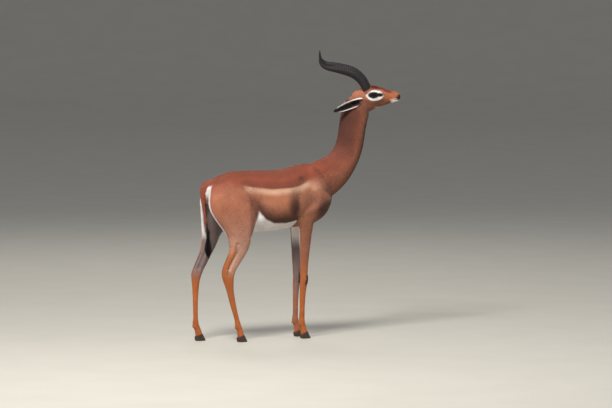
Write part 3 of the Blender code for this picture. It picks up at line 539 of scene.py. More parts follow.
h = stroked(FACE_STROKES, in_head(points_of(skin)), head_axes, ["head"])
set_points(skin, h @ head_axes.T + np.array(head_origin))
drawn = stroked(BODY_STROKES, points_of(skin) - np.array(DRAWN_FROM), np.eye(3), BODY)
set_points(skin, drawn + np.array(DRAWN_FROM))
skin.data.shade_smooth()
print("highest point of the skin:", round(float(points_of(skin)[:, 2].max()), 3), "m")

# %% [markdown]
# ## Marks as distances
#
# A gerenuk's colours have clear borders: a dark saddle over a fawn flank, a white belly and rump,
# a white ring round a dark eye. Each mark is stored on the skin as one number at each point: how
# far inside the mark the point lies, measured in units of how soft the border is. Such a number
# stays sharp on a coarse mesh, and the material can ruffle the border with noise. The tufts of
# the coat inherit the numbers from the skin, so both carry the same marks.

# %% The borders of the marks
SADDLE_EDGE = [  # x, height of the saddle's lower border, softness of the border
    (-0.56, 0.795, 0.060), (-0.42, 0.835, 0.050), (-0.34, 0.838, 0.014), (-0.30, 0.832, 0.006),
    (-0.19, 0.8200, 0.005), (-0.07, 0.8245, 0.005), (0.000, 0.840, 0.006), (0.030, 0.856, 0.014),
    (0.100, 0.870, 0.032), (0.200, 0.885, 0.045),
]
BELLY_EDGE = [  # x, height of the white belly's border
    (-0.33, 0.730), (-0.27, 0.705), (-0.23, 0.660), (-0.18, 0.636), (-0.10, 0.634), (-0.04, 0.648),
    (0.02, 0.630),
]
RUMP_EDGE = [  # height, how far the white reaches from the middle
    (0.500, 0.088), (0.600, 0.086), (0.642, 0.083), (0.686, 0.077), (0.741, 0.069), (0.800, 0.059),
    (0.838, 0.046),
]
THIGH_FRONT = [  # height, x where the belly's white ends
    (0.56, -0.320), (0.61, -0.300), (0.66, -0.278), (0.72, -0.266),
]
# the crease before the shoulder, along which shade is painted
NECK_CREASE = np.array(
    [(0.085, 0.040, 0.935), (0.105, 0.055, 0.900), (0.135, 0.070, 0.860), (0.160, 0.080, 0.800)]
)
NECK_START, NECK_WAY = np.array((0.18, 0, 0.88)), np.array((0.84, 0, 0.54))
TALLEST_MARK = 3.0
LEG_SLICE = 0.012  # the height of the slices in which a leg's depth is measured
print("the saddle ends", SADDLE_EDGE[4][1], "m up on the flank")

# %% Where each point lies on the body
points, normals = points_of(skin), normals_of(skin)
x, y, z = (points - np.array(DRAWN_FROM)).T
sideways = np.abs(y)
inward = -normals[:, 1] * np.sign(y)
on_legs, on_head, on_ears = owned_by(*LEGS), owned_by("head"), owned_by(*EARS)
on_tail, on_neck, on_torso = owned_by("tail"), owned_by("neck"), owned_by("torso")
on_fore = owned_by("foreleg_left", "foreleg_right")
on_hind = owned_by("hindleg_left", "hindleg_right")
edge_x, edge_z, edge_soft = np.array(SADDLE_EDGE).T
below_saddle = np.interp(x, edge_x, edge_z) - z
above_belly = z - np.interp(x, *np.array(BELLY_EDGE).T)
up_neck = (points - np.array(DRAWN_FROM) - NECK_START) @ NECK_WAY
from_back = np.full(len(points), 0.5)  # where a point of a leg lies, from the leg's back to its front
for name in LEGS:
    leg = np.flatnonzero(owned_by(name))
    level = (z[leg] / LEG_SLICE).astype(int)
    low, high = np.full(level.max() + 1, np.inf), np.full(level.max() + 1, -np.inf)
    np.minimum.at(low, level, x[leg])
    np.maximum.at(high, level, x[leg])
    from_back[leg] = (x[leg] - low[level]) / np.maximum(high - low, 0.001)[level]
print("points of the skin:", len(points))


# %% Small tools for marks
def all_of(*marks):
    """Inside every one of the marks."""
    return np.minimum.reduce(np.broadcast_arrays(*marks))


def any_of(*marks):
    """Inside at least one of the marks."""
    return np.maximum.reduce(np.broadcast_arrays(*marks))


def only(where, mark):
    """The mark on some of the points, and none of it elsewhere."""
    return np.where(where, mark, -TALLEST_MARK)


def oval(middle, halves, cover, fade=1.0):
    """A mark seen from the side, whose cover thins out from its middle."""
    return cover - fade * np.hypot((x - middle[0]) / halves[0], (z - middle[1]) / halves[1])


# %% Mark the rose, red and fawn of the body
saddle = -below_saddle / np.interp(x, edge_x, edge_soft)
nape = 1.7 * -normals[:, 0] + 0.25
marks = {}
# Pale rose on the lower haunch, and a painted highlight on the front of the shoulder.
marks["rose"] = any_of(
    only(on_torso | on_hind, all_of((-0.28 - x) / 0.05, (0.640 - z) / 0.10, (z - 0.36) / 0.04)),
    only(on_torso, oval((0.075, 0.825), (0.045, 0.035), 0.6)),  # a painted highlight on the shoulder
)
marks["red"] = any_of(
    only(~on_head & ~on_ears & ~on_tail, all_of(saddle, (0.27 - x) / 0.06)),
    only(on_neck | on_torso, all_of(any_of(nape, -0.30), up_neck / 0.05 + 0.6)),
    only(on_torso | on_hind, all_of((-0.30 - x) / 0.05, (z - 0.60) / 0.08, -0.30)),  # the haunch
    only(on_tail, 1.5),
)
fawn_height = all_of((below_saddle + 0.002) / 0.004, (0.030 - below_saddle) / 0.016)
marks["fawn"] = only(on_torso | on_legs, all_of(fawn_height, (x + 0.345) / 0.02, (0.045 - x) / 0.02))
print("marks so far:", ", ".join(marks))

# %% Mark the painted shade of folds, hollows and undersides, and the ochre of feet
# Painted shade: a dark brown laid where shade falls, under the belly and chest, behind the elbow, in folds
# and creases, down the throat and in the hollow before the hock. The same brown also darkens the coat along
# the top of the back, behind the shoulder blade and on the nape.
under_belly = all_of((0.055 - above_belly) / 0.045, (x + 0.30) / 0.06, (0.06 - x) / 0.05)
upper_foreleg = all_of((x + 0.035) / 0.03, (0.775 - z) / 0.07, (z - 0.36) / 0.08, -0.05)
fold_at_flank = all_of(1 - np.abs(x + 0.292) / 0.028, (z - 0.58) / 0.04, (0.77 - z) / 0.06, 0.1)
saddle_border = all_of(1 - np.abs(below_saddle + 0.013) / 0.012, (x + 0.30) / 0.05, (0.02 - x) / 0.03, -0.40)
thigh = all_of((x + 0.44) / 0.08, (-0.29 - x) / 0.02, (z - 0.56) / 0.08, (0.81 - z) / 0.05, -0.55)
crease = 0.4 - distance_to(np.stack([x, sideways, z], 1), NECK_CREASE) / 0.013
upper_neck = all_of((z - 1.00) / 0.12, any_of(-1.7 * normals[:, 0] - 0.2, 1.6 * normals[:, 0] - 0.3, -0.25))
before_hock = all_of((0.05 - np.abs(from_back - 0.31)) / 0.06, (z - 0.365) / 0.02, (0.50 - z) / 0.05, 0.3)
marks["brown"] = any_of(
    only(on_torso, under_belly),
    only(on_torso | on_legs, oval((-0.062, 0.700), (0.038, 0.095), 1.4, 1.4)),  # behind the elbow
    only(on_torso | on_neck, oval((0.155, 0.765), (0.035, 0.085), 1.0)),  # before the shoulder
    only(on_torso | on_fore, oval((0.125, 0.705), (0.060, 0.070), 1.6, 1.6)),  # under the chest
    only(on_torso | on_fore, upper_foreleg),
    only(on_torso | on_hind, fold_at_flank),
    only(on_torso, oval((-0.004, 0.868), (0.020, 0.014), 0.8)),  # the dip behind the shoulder blade
    only(on_torso, saddle_border),
    only(on_torso, all_of((normals[:, 2] - 0.80) / 0.15, (x + 0.45) / 0.10, -0.45)),  # along the back
    only(on_torso | on_hind, thigh),
    only(on_torso | on_neck, crease),
    only(on_neck, upper_neck),
    only(on_neck | on_torso, all_of(1.6 * normals[:, 0] - 0.5, (x - 0.12) / 0.04)),  # down the throat
    only(on_hind, before_hock),
)
behind_hock = all_of((0.500 - z) / 0.05, (0.24 - from_back) / 0.06)
marks["ochre"] = any_of(
    only(on_fore, (0.400 - z) / 0.090),
    only(on_hind, any_of((0.365 - z) / 0.035, behind_hock)),
)
print("marks on the body:", ", ".join(marks))

# %% Mark the white, the painted shade of the inner legs, and the dark of the body
KNEE, HOCK_DARK = 0.325, 0.43
rump_width = np.interp(z, *np.array(RUMP_EDGE).T)
thigh_front = np.interp(z, *np.array(THIGH_FRONT).T)
towards_belly = any_of(-2 * normals[:, 2] - 0.4, (-0.030 - x) / 0.012)
hidden = any_of((inward - 0.1) / 0.2, only(~on_fore, towards_belly))
belly_length = all_of((x - thigh_front) / 0.008, (0.045 - x) / 0.03)
belly = only(on_torso | on_legs, all_of(-above_belly / 0.005, belly_length, (z - 0.52) / 0.04, hidden))
behind = all_of((rump_width - sideways) / 0.004, (-0.40 - x) / 0.02, (z - 0.565) / 0.03)
stripe = (0.026 - (rump_width - sideways)) / 0.006
rump = only(on_torso | on_hind, all_of(behind, any_of(stripe, (z - 0.785) / 0.02), (0.842 - z) / 0.006))
inner_legs = any_of(
    only(on_fore, all_of((inward - 0.55) / 0.22, (z - 0.56) / 0.03)),
    only(on_hind, all_of((inward - 0.50) / 0.22, (z - 0.54) / 0.04, (x + 0.40) / 0.03)),
)
groin_place = all_of((0.66 - z) / 0.02, (0.08 - np.abs(x + 0.32)) / 0.02, (z - 0.54) / 0.04)
groin = only(on_torso | on_hind, all_of((inward - 0.10) / 0.25, groin_place))
foreleg_shade = np.interp(z, (0.2, 0.5), (-0.2, 1.5))
# Painted shade: grey-brown laid on the inner sides of the legs, the underside and the hollow under the tail,
# where shade falls on the pale coat.
marks["dusky"] = any_of(
    only(on_fore, all_of((inward - 0.15) / 0.25, (z - 0.10) / 0.10, foreleg_shade)),
    only(on_hind, all_of((inward - 0.15) / 0.25, (0.65 - z) / 0.03, (z - 0.36) / 0.05)),
    only(on_torso, all_of((inward - 0.05) / 0.2, (0.68 - z) / 0.03)),
    only(on_torso | on_hind, all_of(behind, (0.80 - z) / 0.02)),
)
marks["white"] = any_of(belly, rump, inner_legs, groin)
marks["dark"] = any_of(
    only(on_fore, 1.2 - np.hypot((z - KNEE) / 0.034, (normals[:, 0] - 1) / 0.40)),
    only(on_hind, all_of(0.4 - np.abs(z - HOCK_DARK) / 0.05, 0.2 - np.abs(inward) * 2)),
    only(on_tail, (0.640 - z) / 0.030),
    only(on_tail, all_of((normals[:, 0] - 0.25) / 0.2, (z - 0.66) / 0.02, (0.79 - z) / 0.02)),
)
print("white covers", round(float((marks["white"] > 0).mean()), 3), "of the skin's points")

# %% [markdown]
# ## The face
#
# The face's marks are shapes in the head's axes, seen from the side: a dark almond round the eye
# that runs forward as a stripe over the tear gland, a white ring round that, a chestnut blaze from
# the horns to the nose, and a white chin. The lids, nostrils and the line of the mouth are bare
# dark skin.

# %% Measure the face's marks
hx, hy, hz = in_head(points).T
h_side = np.abs(hy)
h_normal = normals @ head_axes
eye_x, eye_z = hx - EYE_PLACE.x, hz - EYE_PLACE.z
face = on_head & (h_side > 0.010)
eye_reach = np.hypot((eye_x - 0.003) / 0.0300, (eye_z - 0.001) / 0.0172)
almond = np.hypot((eye_x - 0.029) / 0.031, (eye_z - 0.001) / 0.0108)
ring = np.abs(eye_z + 0.002) / 0.0290 + (np.abs(eye_x - 0.010) / 0.0500) ** 2.6
blaze = all_of((0.0190 - h_side) / 0.004, (hx + 0.034) / 0.01, (0.100 - hx) / 0.02, (hz - 0.014) / 0.005)
marks["chestnut"] = only(on_head, blaze)
marks["red"] = any_of(marks["red"], only(on_head, -0.25))
ochre_face = all_of((hx - 0.075) / 0.03, (hz + 0.022) / 0.01, 0.0)
# painted shade under the jaw, and a faint one over the muzzle
painted_shade_under_jaw = all_of((-0.018 - hz) / 0.025, (0.090 - hx) / 0.03, 0.1)
marks["ochre"] = any_of(marks["ochre"], only(on_head, ochre_face))
marks["brown"] = any_of(marks["brown"], only(on_head, painted_shade_under_jaw), only(on_head & (hx > 0.07), -0.55))
eye_dark = any_of((1 - eye_reach) / 0.16, (1 - almond) / 0.30)
upper_lip = all_of((0.0025 - np.abs(hz + 0.016 + (0.14 - hx) * 0.12)) / 0.002, (hx - 0.095) / 0.01)
marks["white"] = any_of(
    marks["white"],
    only(face, (1 - ring) / 0.13),
    only(on_head, all_of((hx - 0.098) / 0.008, (-0.0235 - hz) / 0.003)),  # the chin
    only(on_head, upper_lip),
    only(on_head, all_of((-0.064 - hz) / 0.008, (hx - 0.02) / 0.02, (0.10 - hx) / 0.03)),  # under the jaw
)
folded = np.stack([hx, h_side, hz], 1)  # both sides of the face laid on its left
mouth = distance_to(folded, spline(FACE_STROKES["mouth line"][0], 6))
nostril = distance_to(folded, spline(FACE_STROKES["nostril"][0], 6))
bare = only(on_head, any_of((0.0022 - mouth) / 0.0015, (0.0040 - nostril) / 0.0018))
muzzle = only(on_head, (1 - np.hypot((hx - 0.145) / 0.0200, (hz + 0.010) / 0.0130)) / 0.45)
marks["dark"] = any_of(marks["dark"], only(face, eye_dark), bare, muzzle)
print("bare points of the face:", int((bare > 0).sum()))

# %% Measure the ears' marks
ear_inside, rim_share, ear_share = np.zeros((3, len(points)))
ear_lie = np.zeros((len(points), 3))
for side in SIDES:
    root, tip, along, opens, across = (np.array(v) for v in ear_axes(side))
    here = owned_by("ear_" + side)
    from_root = in_head(points) - root
    t = np.clip(from_root @ along / np.linalg.norm(tip - root), 0, 1)
    inside = h_normal @ opens
    ear_inside = np.where(here, inside, ear_inside)
    share = from_root @ across / np.maximum(ear_width(t), 0.004)
    rim_share = np.where(here, share, rim_share)
    ear_lie[here] = head_axes @ along
    rim = np.interp(t, (0.15, 0.50, 0.85), (0.28, 0.48, 0.78))
    ear_share = np.where(here, t, ear_share)
    lined = all_of((inside - 0.15) / 0.25, (rim + 0.06 - share) / 0.12, (share + 0.86) / 0.08)
    at_rims = any_of((share - rim) / 0.12, (-0.84 - share) / 0.08)
    edged = all_of((inside + 0.15) / 0.2, at_rims, (0.86 - t) / 0.04)
    sunk = on_head & (np.sign(hy) == SIDES[side]) & (inside > 0)
    canal = all_of((0.30 - share) / 0.12, (share + 0.80) / 0.12, (t - 0.13) / 0.04, (0.50 - t) / 0.05)
    ear_tip = all_of((t - 0.86) / 0.05, 0.7)
    marks["dark"] = any_of(marks["dark"], only(here, any_of(lined, ear_tip)), only(sunk, canal))
    marks["white"] = any_of(marks["white"], only(here, edged))


def store(mesh, name, values, kind="FLOAT"):
    """Keeps a number or a direction at each point of a mesh."""
    layer = mesh.attributes.get(name) or mesh.attributes.new(name, kind, "POINT")
    field = "vector" if kind == "FLOAT_VECTOR" else "value"
    layer.data.foreach_set(field, np.ravel(values).astype(np.float32))


for name, mark in marks.items():
    store(skin.data, name, np.clip(mark, -TALLEST_MARK, TALLEST_MARK))
print("marks:", {name: round(float((mark > 0).mean()), 3) for name, mark in marks.items()})

# %% [markdown]
# ## The lie of the coat
#
# Hair grows back from the nose, down the neck and legs, and back along the flanks. Each part's
# main direction is averaged over its neighbours many times, so that the lie turns softly where
# parts meet, and is then laid flat on the skin.

# %% Comb the coat
neck_down = -(Vector((0.345, -0.030, 1.240)) - Vector((0.200, 0.0, 0.900))).normalized()
head_back = head_turn @ Vector((-0.93, 0.0, -0.37))
LIES = {"torso": (-0.93, 0, -0.36), "neck": neck_down, "tail": (0, 0, -1), "head": head_back}
LEG_LIE = (-0.16, 0, -0.99)

lie = np.array([tuple(LIES.get(name, LEG_LIE)) for name in OWNERS])[owner]
lie = np.where(on_ears[:, None], ear_lie, lie)
linked = neighbours(skin)
for _ in range(40):
    lie = np.where(on_ears[:, None], lie, average(lie, *linked))


def laid_flat(ways):
    """Directions turned to lie in the skin, each of length one."""
    ways = ways - normals * (ways * normals).sum(1)[:, None]
    return ways / np.maximum(np.linalg.norm(ways, axis=1), 1e-6)[:, None]


lie = laid_flat(lie)
store(skin.data, "lie", lie, "FLOAT_VECTOR")
print("mean lie of the coat:", lie.mean(0).round(2))

# %% [markdown]
# ## Unwrapping the skin
#
# A map of the skin is needed twice: to run the grain of the hair along the body, and to give each
# tuft its place when the colours are baked. Every part here is roughly a tube, so it is unrolled
# round its own axis: the height along the axis is one coordinate, and the turn about it the other.
# The axis bends with the part, because it is the middle of the points at each height.

# %% Unroll each part round its own axis
NECK_AXIS = np.array((0.33, -0.04, 0.94))
AXES = {
    "torso": np.array((1.0, 0, 0)), "neck": NECK_AXIS / np.linalg.norm(NECK_AXIS), "head": np.array(head_x),
}
UPRIGHT = np.array((0, 0, 1.0))
PLACES = {  # left, bottom, width and height of each part's field on the map
    "torso": (0.01, 0.01, 0.50, 0.46), "neck": (0.53, 0.01, 0.20, 0.46),
    "head": (0.75, 0.01, 0.24, 0.46), "tail": (0.77, 0.50, 0.05, 0.48),
    "foreleg_left": (0.01, 0.50, 0.16, 0.48), "foreleg_right": (0.19, 0.50, 0.16, 0.48),
    "hindleg_left": (0.37, 0.50, 0.18, 0.48), "hindleg_right": (0.57, 0.50, 0.18, 0.48),
    "ear_left": (0.84, 0.50, 0.15, 0.23), "ear_right": (0.84, 0.75, 0.15, 0.23),
}
SLICES = 60
EAR_ON_MAP = 0.12  # the width of skin that fills an ear's field on the map
FIELD_MARGIN = 0.04  # the share of a field's width that is left empty at each side


def corner_arrays(mesh):
    """The point of each face corner, and the face that it belongs to."""
    corner_point = np.empty(len(mesh.loops), np.int32)
    mesh.loops.foreach_get("vertex_index", corner_point)
    totals = np.empty(len(mesh.polygons), np.int32)
    mesh.polygons.foreach_get("loop_total", totals)
    return corner_point, np.repeat(np.arange(len(totals)), totals)


def unroll(points, axis, corner_point, corner_face):
    """Turn and height of each corner about a part's axis, and the part's mean radius."""
    height = points @ axis
    bins = np.linspace(height.min(), height.max() + 1e-6, SLICES + 1)
    which = np.digitize(height, bins) - 1
    count = np.bincount(which, minlength=SLICES)
    full = count > 0
    middles = ((bins[:-1] + bins[1:]) / 2)[full]
    means = [np.bincount(which, points[:, k], SLICES)[full] / count[full] for k in range(3)]
    centre = np.stack([np.interp(height, middles, mean) for mean in means], 1)
    out = points - centre
    out -= (out @ axis)[:, None] * axis
    first = np.cross(axis, (0.3, 1.0, 0.2))
    first /= np.linalg.norm(first)
    second = np.cross(axis, first)
    flat = np.stack([out @ first, out @ second], 1)
    face_count = corner_face.max() + 1
    face_flat = [np.bincount(corner_face, flat[corner_point, k], face_count) for k in range(2)]
    face_turn = np.arctan2(face_flat[1], face_flat[0])[corner_face]
    turn = np.arctan2(flat[corner_point, 1], flat[corner_point, 0])
    turn = face_turn + (turn - face_turn + math.pi) % (2 * math.pi) - math.pi
    return turn, height[corner_point], np.linalg.norm(out, axis=1).mean()


# %% Lay the parts out on the map
corner_point, corner_face = corner_arrays(skin.data)
first_corner = np.searchsorted(corner_face, np.arange(len(skin.data.polygons)))
corner_owner = owner[corner_point[first_corner]][corner_face]
map_uv = np.zeros((len(corner_point), 2))
grain_uv = np.zeros((len(corner_point), 2))
for name, (left, bottom, width, tall) in PLACES.items():
    here = np.flatnonzero(corner_owner == OWNERS.index(name))
    used, local = np.unique(corner_point[here], return_inverse=True)
    faces_here = np.unique(corner_face[here], return_inverse=True)[1]
    if name in EARS:
        root, tip, along, opens, across = (np.array(v) for v in ear_axes(name[4:]))
        flat = in_head(points[used]) - root
        inner = (h_normal[used] @ opens > 0)[local[np.searchsorted(faces_here, faces_here)]]
        turn = ((flat @ across)[local] / EAR_ON_MAP + np.where(inner, 0.75, 0.25)) * 2 * math.pi - math.pi
        height, radius = (flat @ along)[local], 0.02
    else:
        turn, height, radius = unroll(points[used], AXES.get(name, UPRIGHT), local, faces_here)
    share = (height - height.min()) / np.ptp(height)
    round_share = FIELD_MARGIN + (1 - 2 * FIELD_MARGIN) * (turn / (2 * math.pi) + 0.5)
    map_uv[here] = np.stack([left + width * round_share, bottom + tall * share], 1)
    grain_uv[here] = np.stack([turn * radius, height], 1)
for layer_name, values in (("OFBake", map_uv), ("grain", grain_uv)):
    layer = skin.data.uv_layers.new(name=layer_name)
    layer.data.foreach_set("uv", values.astype(np.float32).ravel())
print("unrolled", len(PLACES), "parts")

# %% [markdown]
# ## Short names for node building
#
# Materials and Geometry Nodes trees are both built in code. One helper adds a node, sets its
# properties and fills its inputs with values or links, so that a tree reads like a recipe.


# %% Add a node, a sum or a mix of colours
def add(tree, kind, inputs=None, **settings):
    """Adds a node with its properties set and its inputs filled with values or links."""
    node = tree.nodes.new(kind)
    for name, value in settings.items():
        setattr(node, name, value)
    for key, value in (inputs or {}).items():
        if isinstance(value, bpy.types.NodeSocket):
            tree.links.new(value, node.inputs[key])
        else:
            node.inputs[key].default_value = value
    return node


def maths(tree, operation, *values):
    return add(tree, "ShaderNodeMath", dict(enumerate(values)), operation=operation).outputs[0]


def colour(red, green, blue):
    """A colour as seen, from 0 to 255, as the linear one that shaders use."""
    seen = [value / 255 for value in (red, green, blue)]
    return (*[v / 12.92 if v <= 0.04045 else ((v + 0.055) / 1.055) ** 2.4 for v in seen], 1.0)


def blend(tree, share, below, above):
    """One colour over another, by a share from 0 to 1."""
    return add(tree, "ShaderNodeMix", {0: share, 6: below, 7: above}, data_type="RGBA").outputs[2]


# %% Read a place or a mark, and make a texture of it
def mark_of(tree, name, way="Fac"):
    """What is stored on the mesh under a name, read in a material."""
    return add(tree, "ShaderNodeAttribute", attribute_name=name).outputs[way]


def in_object(tree):
    return add(tree, "ShaderNodeTexCoord").outputs["Object"]


def noise(tree, scale, detail, where=None, **more):
    """Noise from 0 to 1, at the places given or at the mesh's own."""
    inputs = {"Scale": scale, "Detail": detail, **({"Vector": where} if where else {}), **more}
    return add(tree, "ShaderNodeTexNoise", inputs).outputs[0]


def ramp(tree, value, low, high, start=0.0, end=1.0, **settings):
    """A number that runs from start to end while a value runs from low to high."""
    inputs = {"Value": value, "From Min": low, "From Max": high, "To Min": start, "To Max": end}
    return add(tree, "ShaderNodeMapRange", inputs, **settings).outputs["Result"]


# %% Make a material or a socket
def painted_with(tree, shader, paint, height=None, strength=0.0, distance=0.0):
    """Links a colour to a shader, and the bump of a height where there is one."""
    tree.links.new(paint, shader.inputs["Base Color"])
    if height:
        bump = add(tree, "ShaderNodeBump", {"Height": height, "Strength": strength, "Distance": distance})
        tree.links.new(bump.outputs[0], shader.inputs["Normal"])


def socket(tree, name, kind, way="INPUT", value=None):
    made = tree.interface.new_socket(name, in_out=way, socket_type="NodeSocket" + kind)
    if value is not None:
        made.default_value = value
    return made


def new_material(name, **surface):
    """A material, its tree and its shader, with the shader's even values set."""
    material = bpy.data.materials.new(name)
    material.use_nodes = True
    shader = material.node_tree.nodes["Principled BSDF"]
    for key, value in surface.items():
        shader.inputs[key.replace("_", " ").title().replace("Ior", "IOR")].default_value = value
    return material, material.node_tree, shader


# %% [markdown]
# ## The coat's colours
#
# One node group turns the marks into colours. It starts from the tan of the flank and lays the
# others over it in turn: pale rose with a painted highlight on the shoulder, the fawn line under
# the saddle, the red saddle and neck, painted shade in folds, hollows and undersides, ochre feet,
# the chestnut blaze, painted shade on the inner legs, white, and last the dark marks. Noise moves
# each border a little, as hairs do, and varies the tone from patch to patch.
# Both the skin and the tufts use it, each with its own tone.

# %% The group that colours the coat
COAT_COLOURS = [  # mark, colour, how far noise ruffles its border
    # pale rose, and a painted highlight on the shoulder
    ("rose", colour(198, 150, 128), 0.7),
    ("fawn", colour(214, 172, 144), 0.5),
    ("red", colour(148, 76, 54), 0.6),
    # painted shade in folds, hollows and undersides, and darker coat on the back
    ("brown", colour(84, 48, 38), 0.7),
    ("ochre", colour(176, 98, 48), 0.6),
    ("chestnut", colour(116, 46, 28), 0.6),
    # painted shade on the inner legs and the underside
    ("dusky", colour(124, 106, 104), 0.6),
    ("white", colour(234, 228, 226), 0.55),
    ("dark", colour(24, 19, 20), 0.45),
]
FLANK_TAN = colour(182, 118, 88)
PATCH_CONTRAST, HAIR_CONTRAST = 0.50, 0.30  # how much noise varies the tone

coat_colour = bpy.data.node_groups.new("coat_colour", "ShaderNodeTree")
socket(coat_colour, "Tone", "Float", value=1.0)
socket(coat_colour, "Ruffle", "Float", value=1.0)
socket(coat_colour, "Color", "Color", "OUTPUT")
given = add(coat_colour, "NodeGroupInput")
here = in_object(coat_colour)
hairs = maths(coat_colour, "SUBTRACT", noise(coat_colour, 260.0, 3.0, here), 0.5)
patches = maths(coat_colour, "SUBTRACT", noise(coat_colour, 20.0, 3.0, here), 0.5)
ruffle = maths(coat_colour, "MULTIPLY", hairs, given.outputs["Ruffle"])
painted = FLANK_TAN
for mark, paint, reach in COAT_COLOURS:
    inside = maths(coat_colour, "MULTIPLY_ADD", ruffle, 4 * reach, mark_of(coat_colour, mark))
    share = ramp(coat_colour, inside, -1.0, 1.0, interpolation_type="SMOOTHSTEP")
    painted = blend(coat_colour, share, painted, paint)
tone = maths(coat_colour, "MULTIPLY_ADD", patches, PATCH_CONTRAST, given.outputs["Tone"])
tone = maths(coat_colour, "ADD", tone, mark_of(coat_colour, "tint"))
tone = maths(coat_colour, "MULTIPLY_ADD", hairs, HAIR_CONTRAST, tone)
toned = add(coat_colour, "ShaderNodeVectorMath", {0: painted, "Scale": tone}, operation="SCALE").outputs[0]
add(coat_colour, "NodeGroupOutput", {"Color": toned})
print("coat_colour:", len(coat_colour.nodes), "nodes")


# %% The skin's and the tufts' materials
def coat_material(name, roughness, tone):
    """A material whose colour comes from the marks, and that colour."""
    made = new_material(name, roughness=roughness, specular_ior_level=0.25, sheen_weight=0.15)
    group = add(made[1], "ShaderNodeGroup", node_tree=coat_colour)
    group.inputs["Tone"].default_value = tone
    return (*made, group.outputs["Color"])


skin_finish, tree, shader, paint = coat_material("skin_short_coat", 0.62, 0.97)
grain = add(tree, "ShaderNodeUVMap", uv_map="grain").outputs[0]
combed = add(tree, "ShaderNodeMapping", {"Vector": grain, "Scale": (900.0, 85.0, 1.0)}).outputs[0]
strands = noise(tree, 1.0, 3.0, combed, Distortion=0.4)
painted_with(tree, shader, paint, strands, 0.55, 0.0010)
tuft_finish, tree, shader, paint = coat_material("coat_tufts", 0.58, 1.0)
painted_with(tree, shader, paint)
skin.data.materials.clear()
skin.data.materials.append(skin_finish)
print("materials:", skin_finish.name, tuft_finish.name)

# %% [markdown]
# ## Growing hair with Geometry Nodes
#
# Every kind of hair here grows the same way: points are scattered over a surface by a density
# stored on it, and at each point a small blade is set along the lie, lifted a little, and varied
# in length and turn by seeded random values. The blades are real closed meshes, because particle
# hair and instances don't survive an export. One tree does all of it, from the short coat to the
# tail's tuft, with other sizes and another blade.


# %% The blades
def kept_aside(name, bm):
    """A mesh for instancing, which isn't rendered itself. Its flat shape is its patch on the map."""
    obj = object_from(name, bm)
    flat = points_of(obj)
    patch = np.stack([flat[:, 0] - 0.5, flat[:, 1] + 0.25 * flat[:, 2], 0 * flat[:, 0]], 1)
    store(obj.data, "patch", patch, "FLOAT_VECTOR")
    obj.hide_render = True
    return obj


def blade(name, rows):
    """A closed tapered blade of length one: rows of distance, width and height, the last its tip."""
    bm = bmesh.new()
    rings = []
    for along, width, height in rows[:-1]:
        edge_left, edge_right = (along, -width / 2, height), (along, width / 2, height)
        ridge = (along, 0, height + 0.55 * width)
        rings.append([bm.verts.new(corner) for corner in (edge_left, edge_right, ridge)])
    tip = bm.verts.new((rows[-1][0], 0, rows[-1][2]))
    bm.faces.new(rings[0])
    loft(bm, rings, ends=())
    for i in range(3):
        bm.faces.new((rings[-1][i], rings[-1][(i + 1) % 3], tip))
    bmesh.ops.recalc_face_normals(bm, faces=bm.faces)
    bmesh.ops.triangulate(bm, faces=bm.faces)
    return kept_aside(name, bm)


def short_blade():
    """The coat's own blade, five points and six faces: a wide root, a raised middle and a tip."""
    bm = bmesh.new()
    left, right, below, middle, tip = (
        bm.verts.new(v) for v in ((0, -0.5, 0), (0, 0.5, 0), (0.12, 0, -0.9), (0.42, 0, 1.0), (1, 0, 0.9))
    )
    for face in (
        (left, right, below), (left, middle, right), (right, middle, tip),
        (middle, left, tip), (left, below, tip), (below, right, tip),
    ):
        bm.faces.new(face)
    bmesh.ops.recalc_face_normals(bm, faces=bm.faces)
    return kept_aside("short_blade", bm)


coat_blade = short_blade()
LONG_ROWS = [(0, 0.7, 0), (0.25, 1.0, 0.55), (0.55, 0.85, 0.85), (0.80, 0.5, 0.9), (1, 0, 0.75)]
long_blade = blade("long_blade", LONG_ROWS)
print("blades:", triangles(coat_blade), "and", triangles(long_blade), "triangles")

# %% A tree's inputs, and what it stores
HAIR_INPUTS = [
    ("Density", "Float", 1000.0), ("Length", "Float", 0.01), ("Width", "Float", 0.001),
    ("Height", "Float", 0.001), ("Lift", "Float", 0.1), ("Spread", "Float", 0.15),
    ("Uneven", "Float", 0.3), ("Tint", "Float", 0.08), ("Seed", "Int", 1),
    ("Blade", "Object", None), ("Finish", "Material", None),
]
PATCH = 0.003  # how far a tuft spreads on the map


def new_tree(name, inputs):
    """A Geometry Nodes tree that turns one geometry into another, and its named inputs."""
    tree = bpy.data.node_groups.new(name, "GeometryNodeTree")
    socket(tree, "Geometry", "Geometry")
    for title, kind, value in inputs:
        socket(tree, title, kind, value=value)
    socket(tree, "Geometry", "Geometry", "OUTPUT")
    return tree, add(tree, "NodeGroupInput").outputs


def read(tree, name, kind="FLOAT"):
    """What is stored under a name, read in a Geometry Nodes tree."""
    return add(tree, "GeometryNodeInputNamedAttribute", {"Name": name}, data_type=kind).outputs[0]


def keep(tree, geometry, name, value, kind="FLOAT", domain="POINT"):
    """The geometry with a value stored under a name."""
    inputs = {"Geometry": geometry, "Name": name, "Value": value}
    return add(tree, "GeometryNodeStoreNamedAttribute", inputs, data_type=kind, domain=domain).outputs[0]


# %% Scatter points and comb them
grow, given = new_tree("grow_hair", HAIR_INPUTS)


def chance(low, high, shift):
    """A random number for each point, from the seed and a shift of its own."""
    seed = maths(grow, "ADD", given["Seed"], shift)
    return add(grow, "FunctionNodeRandomValue", {2: low, 3: high, 8: seed}, data_type="FLOAT").outputs[1]


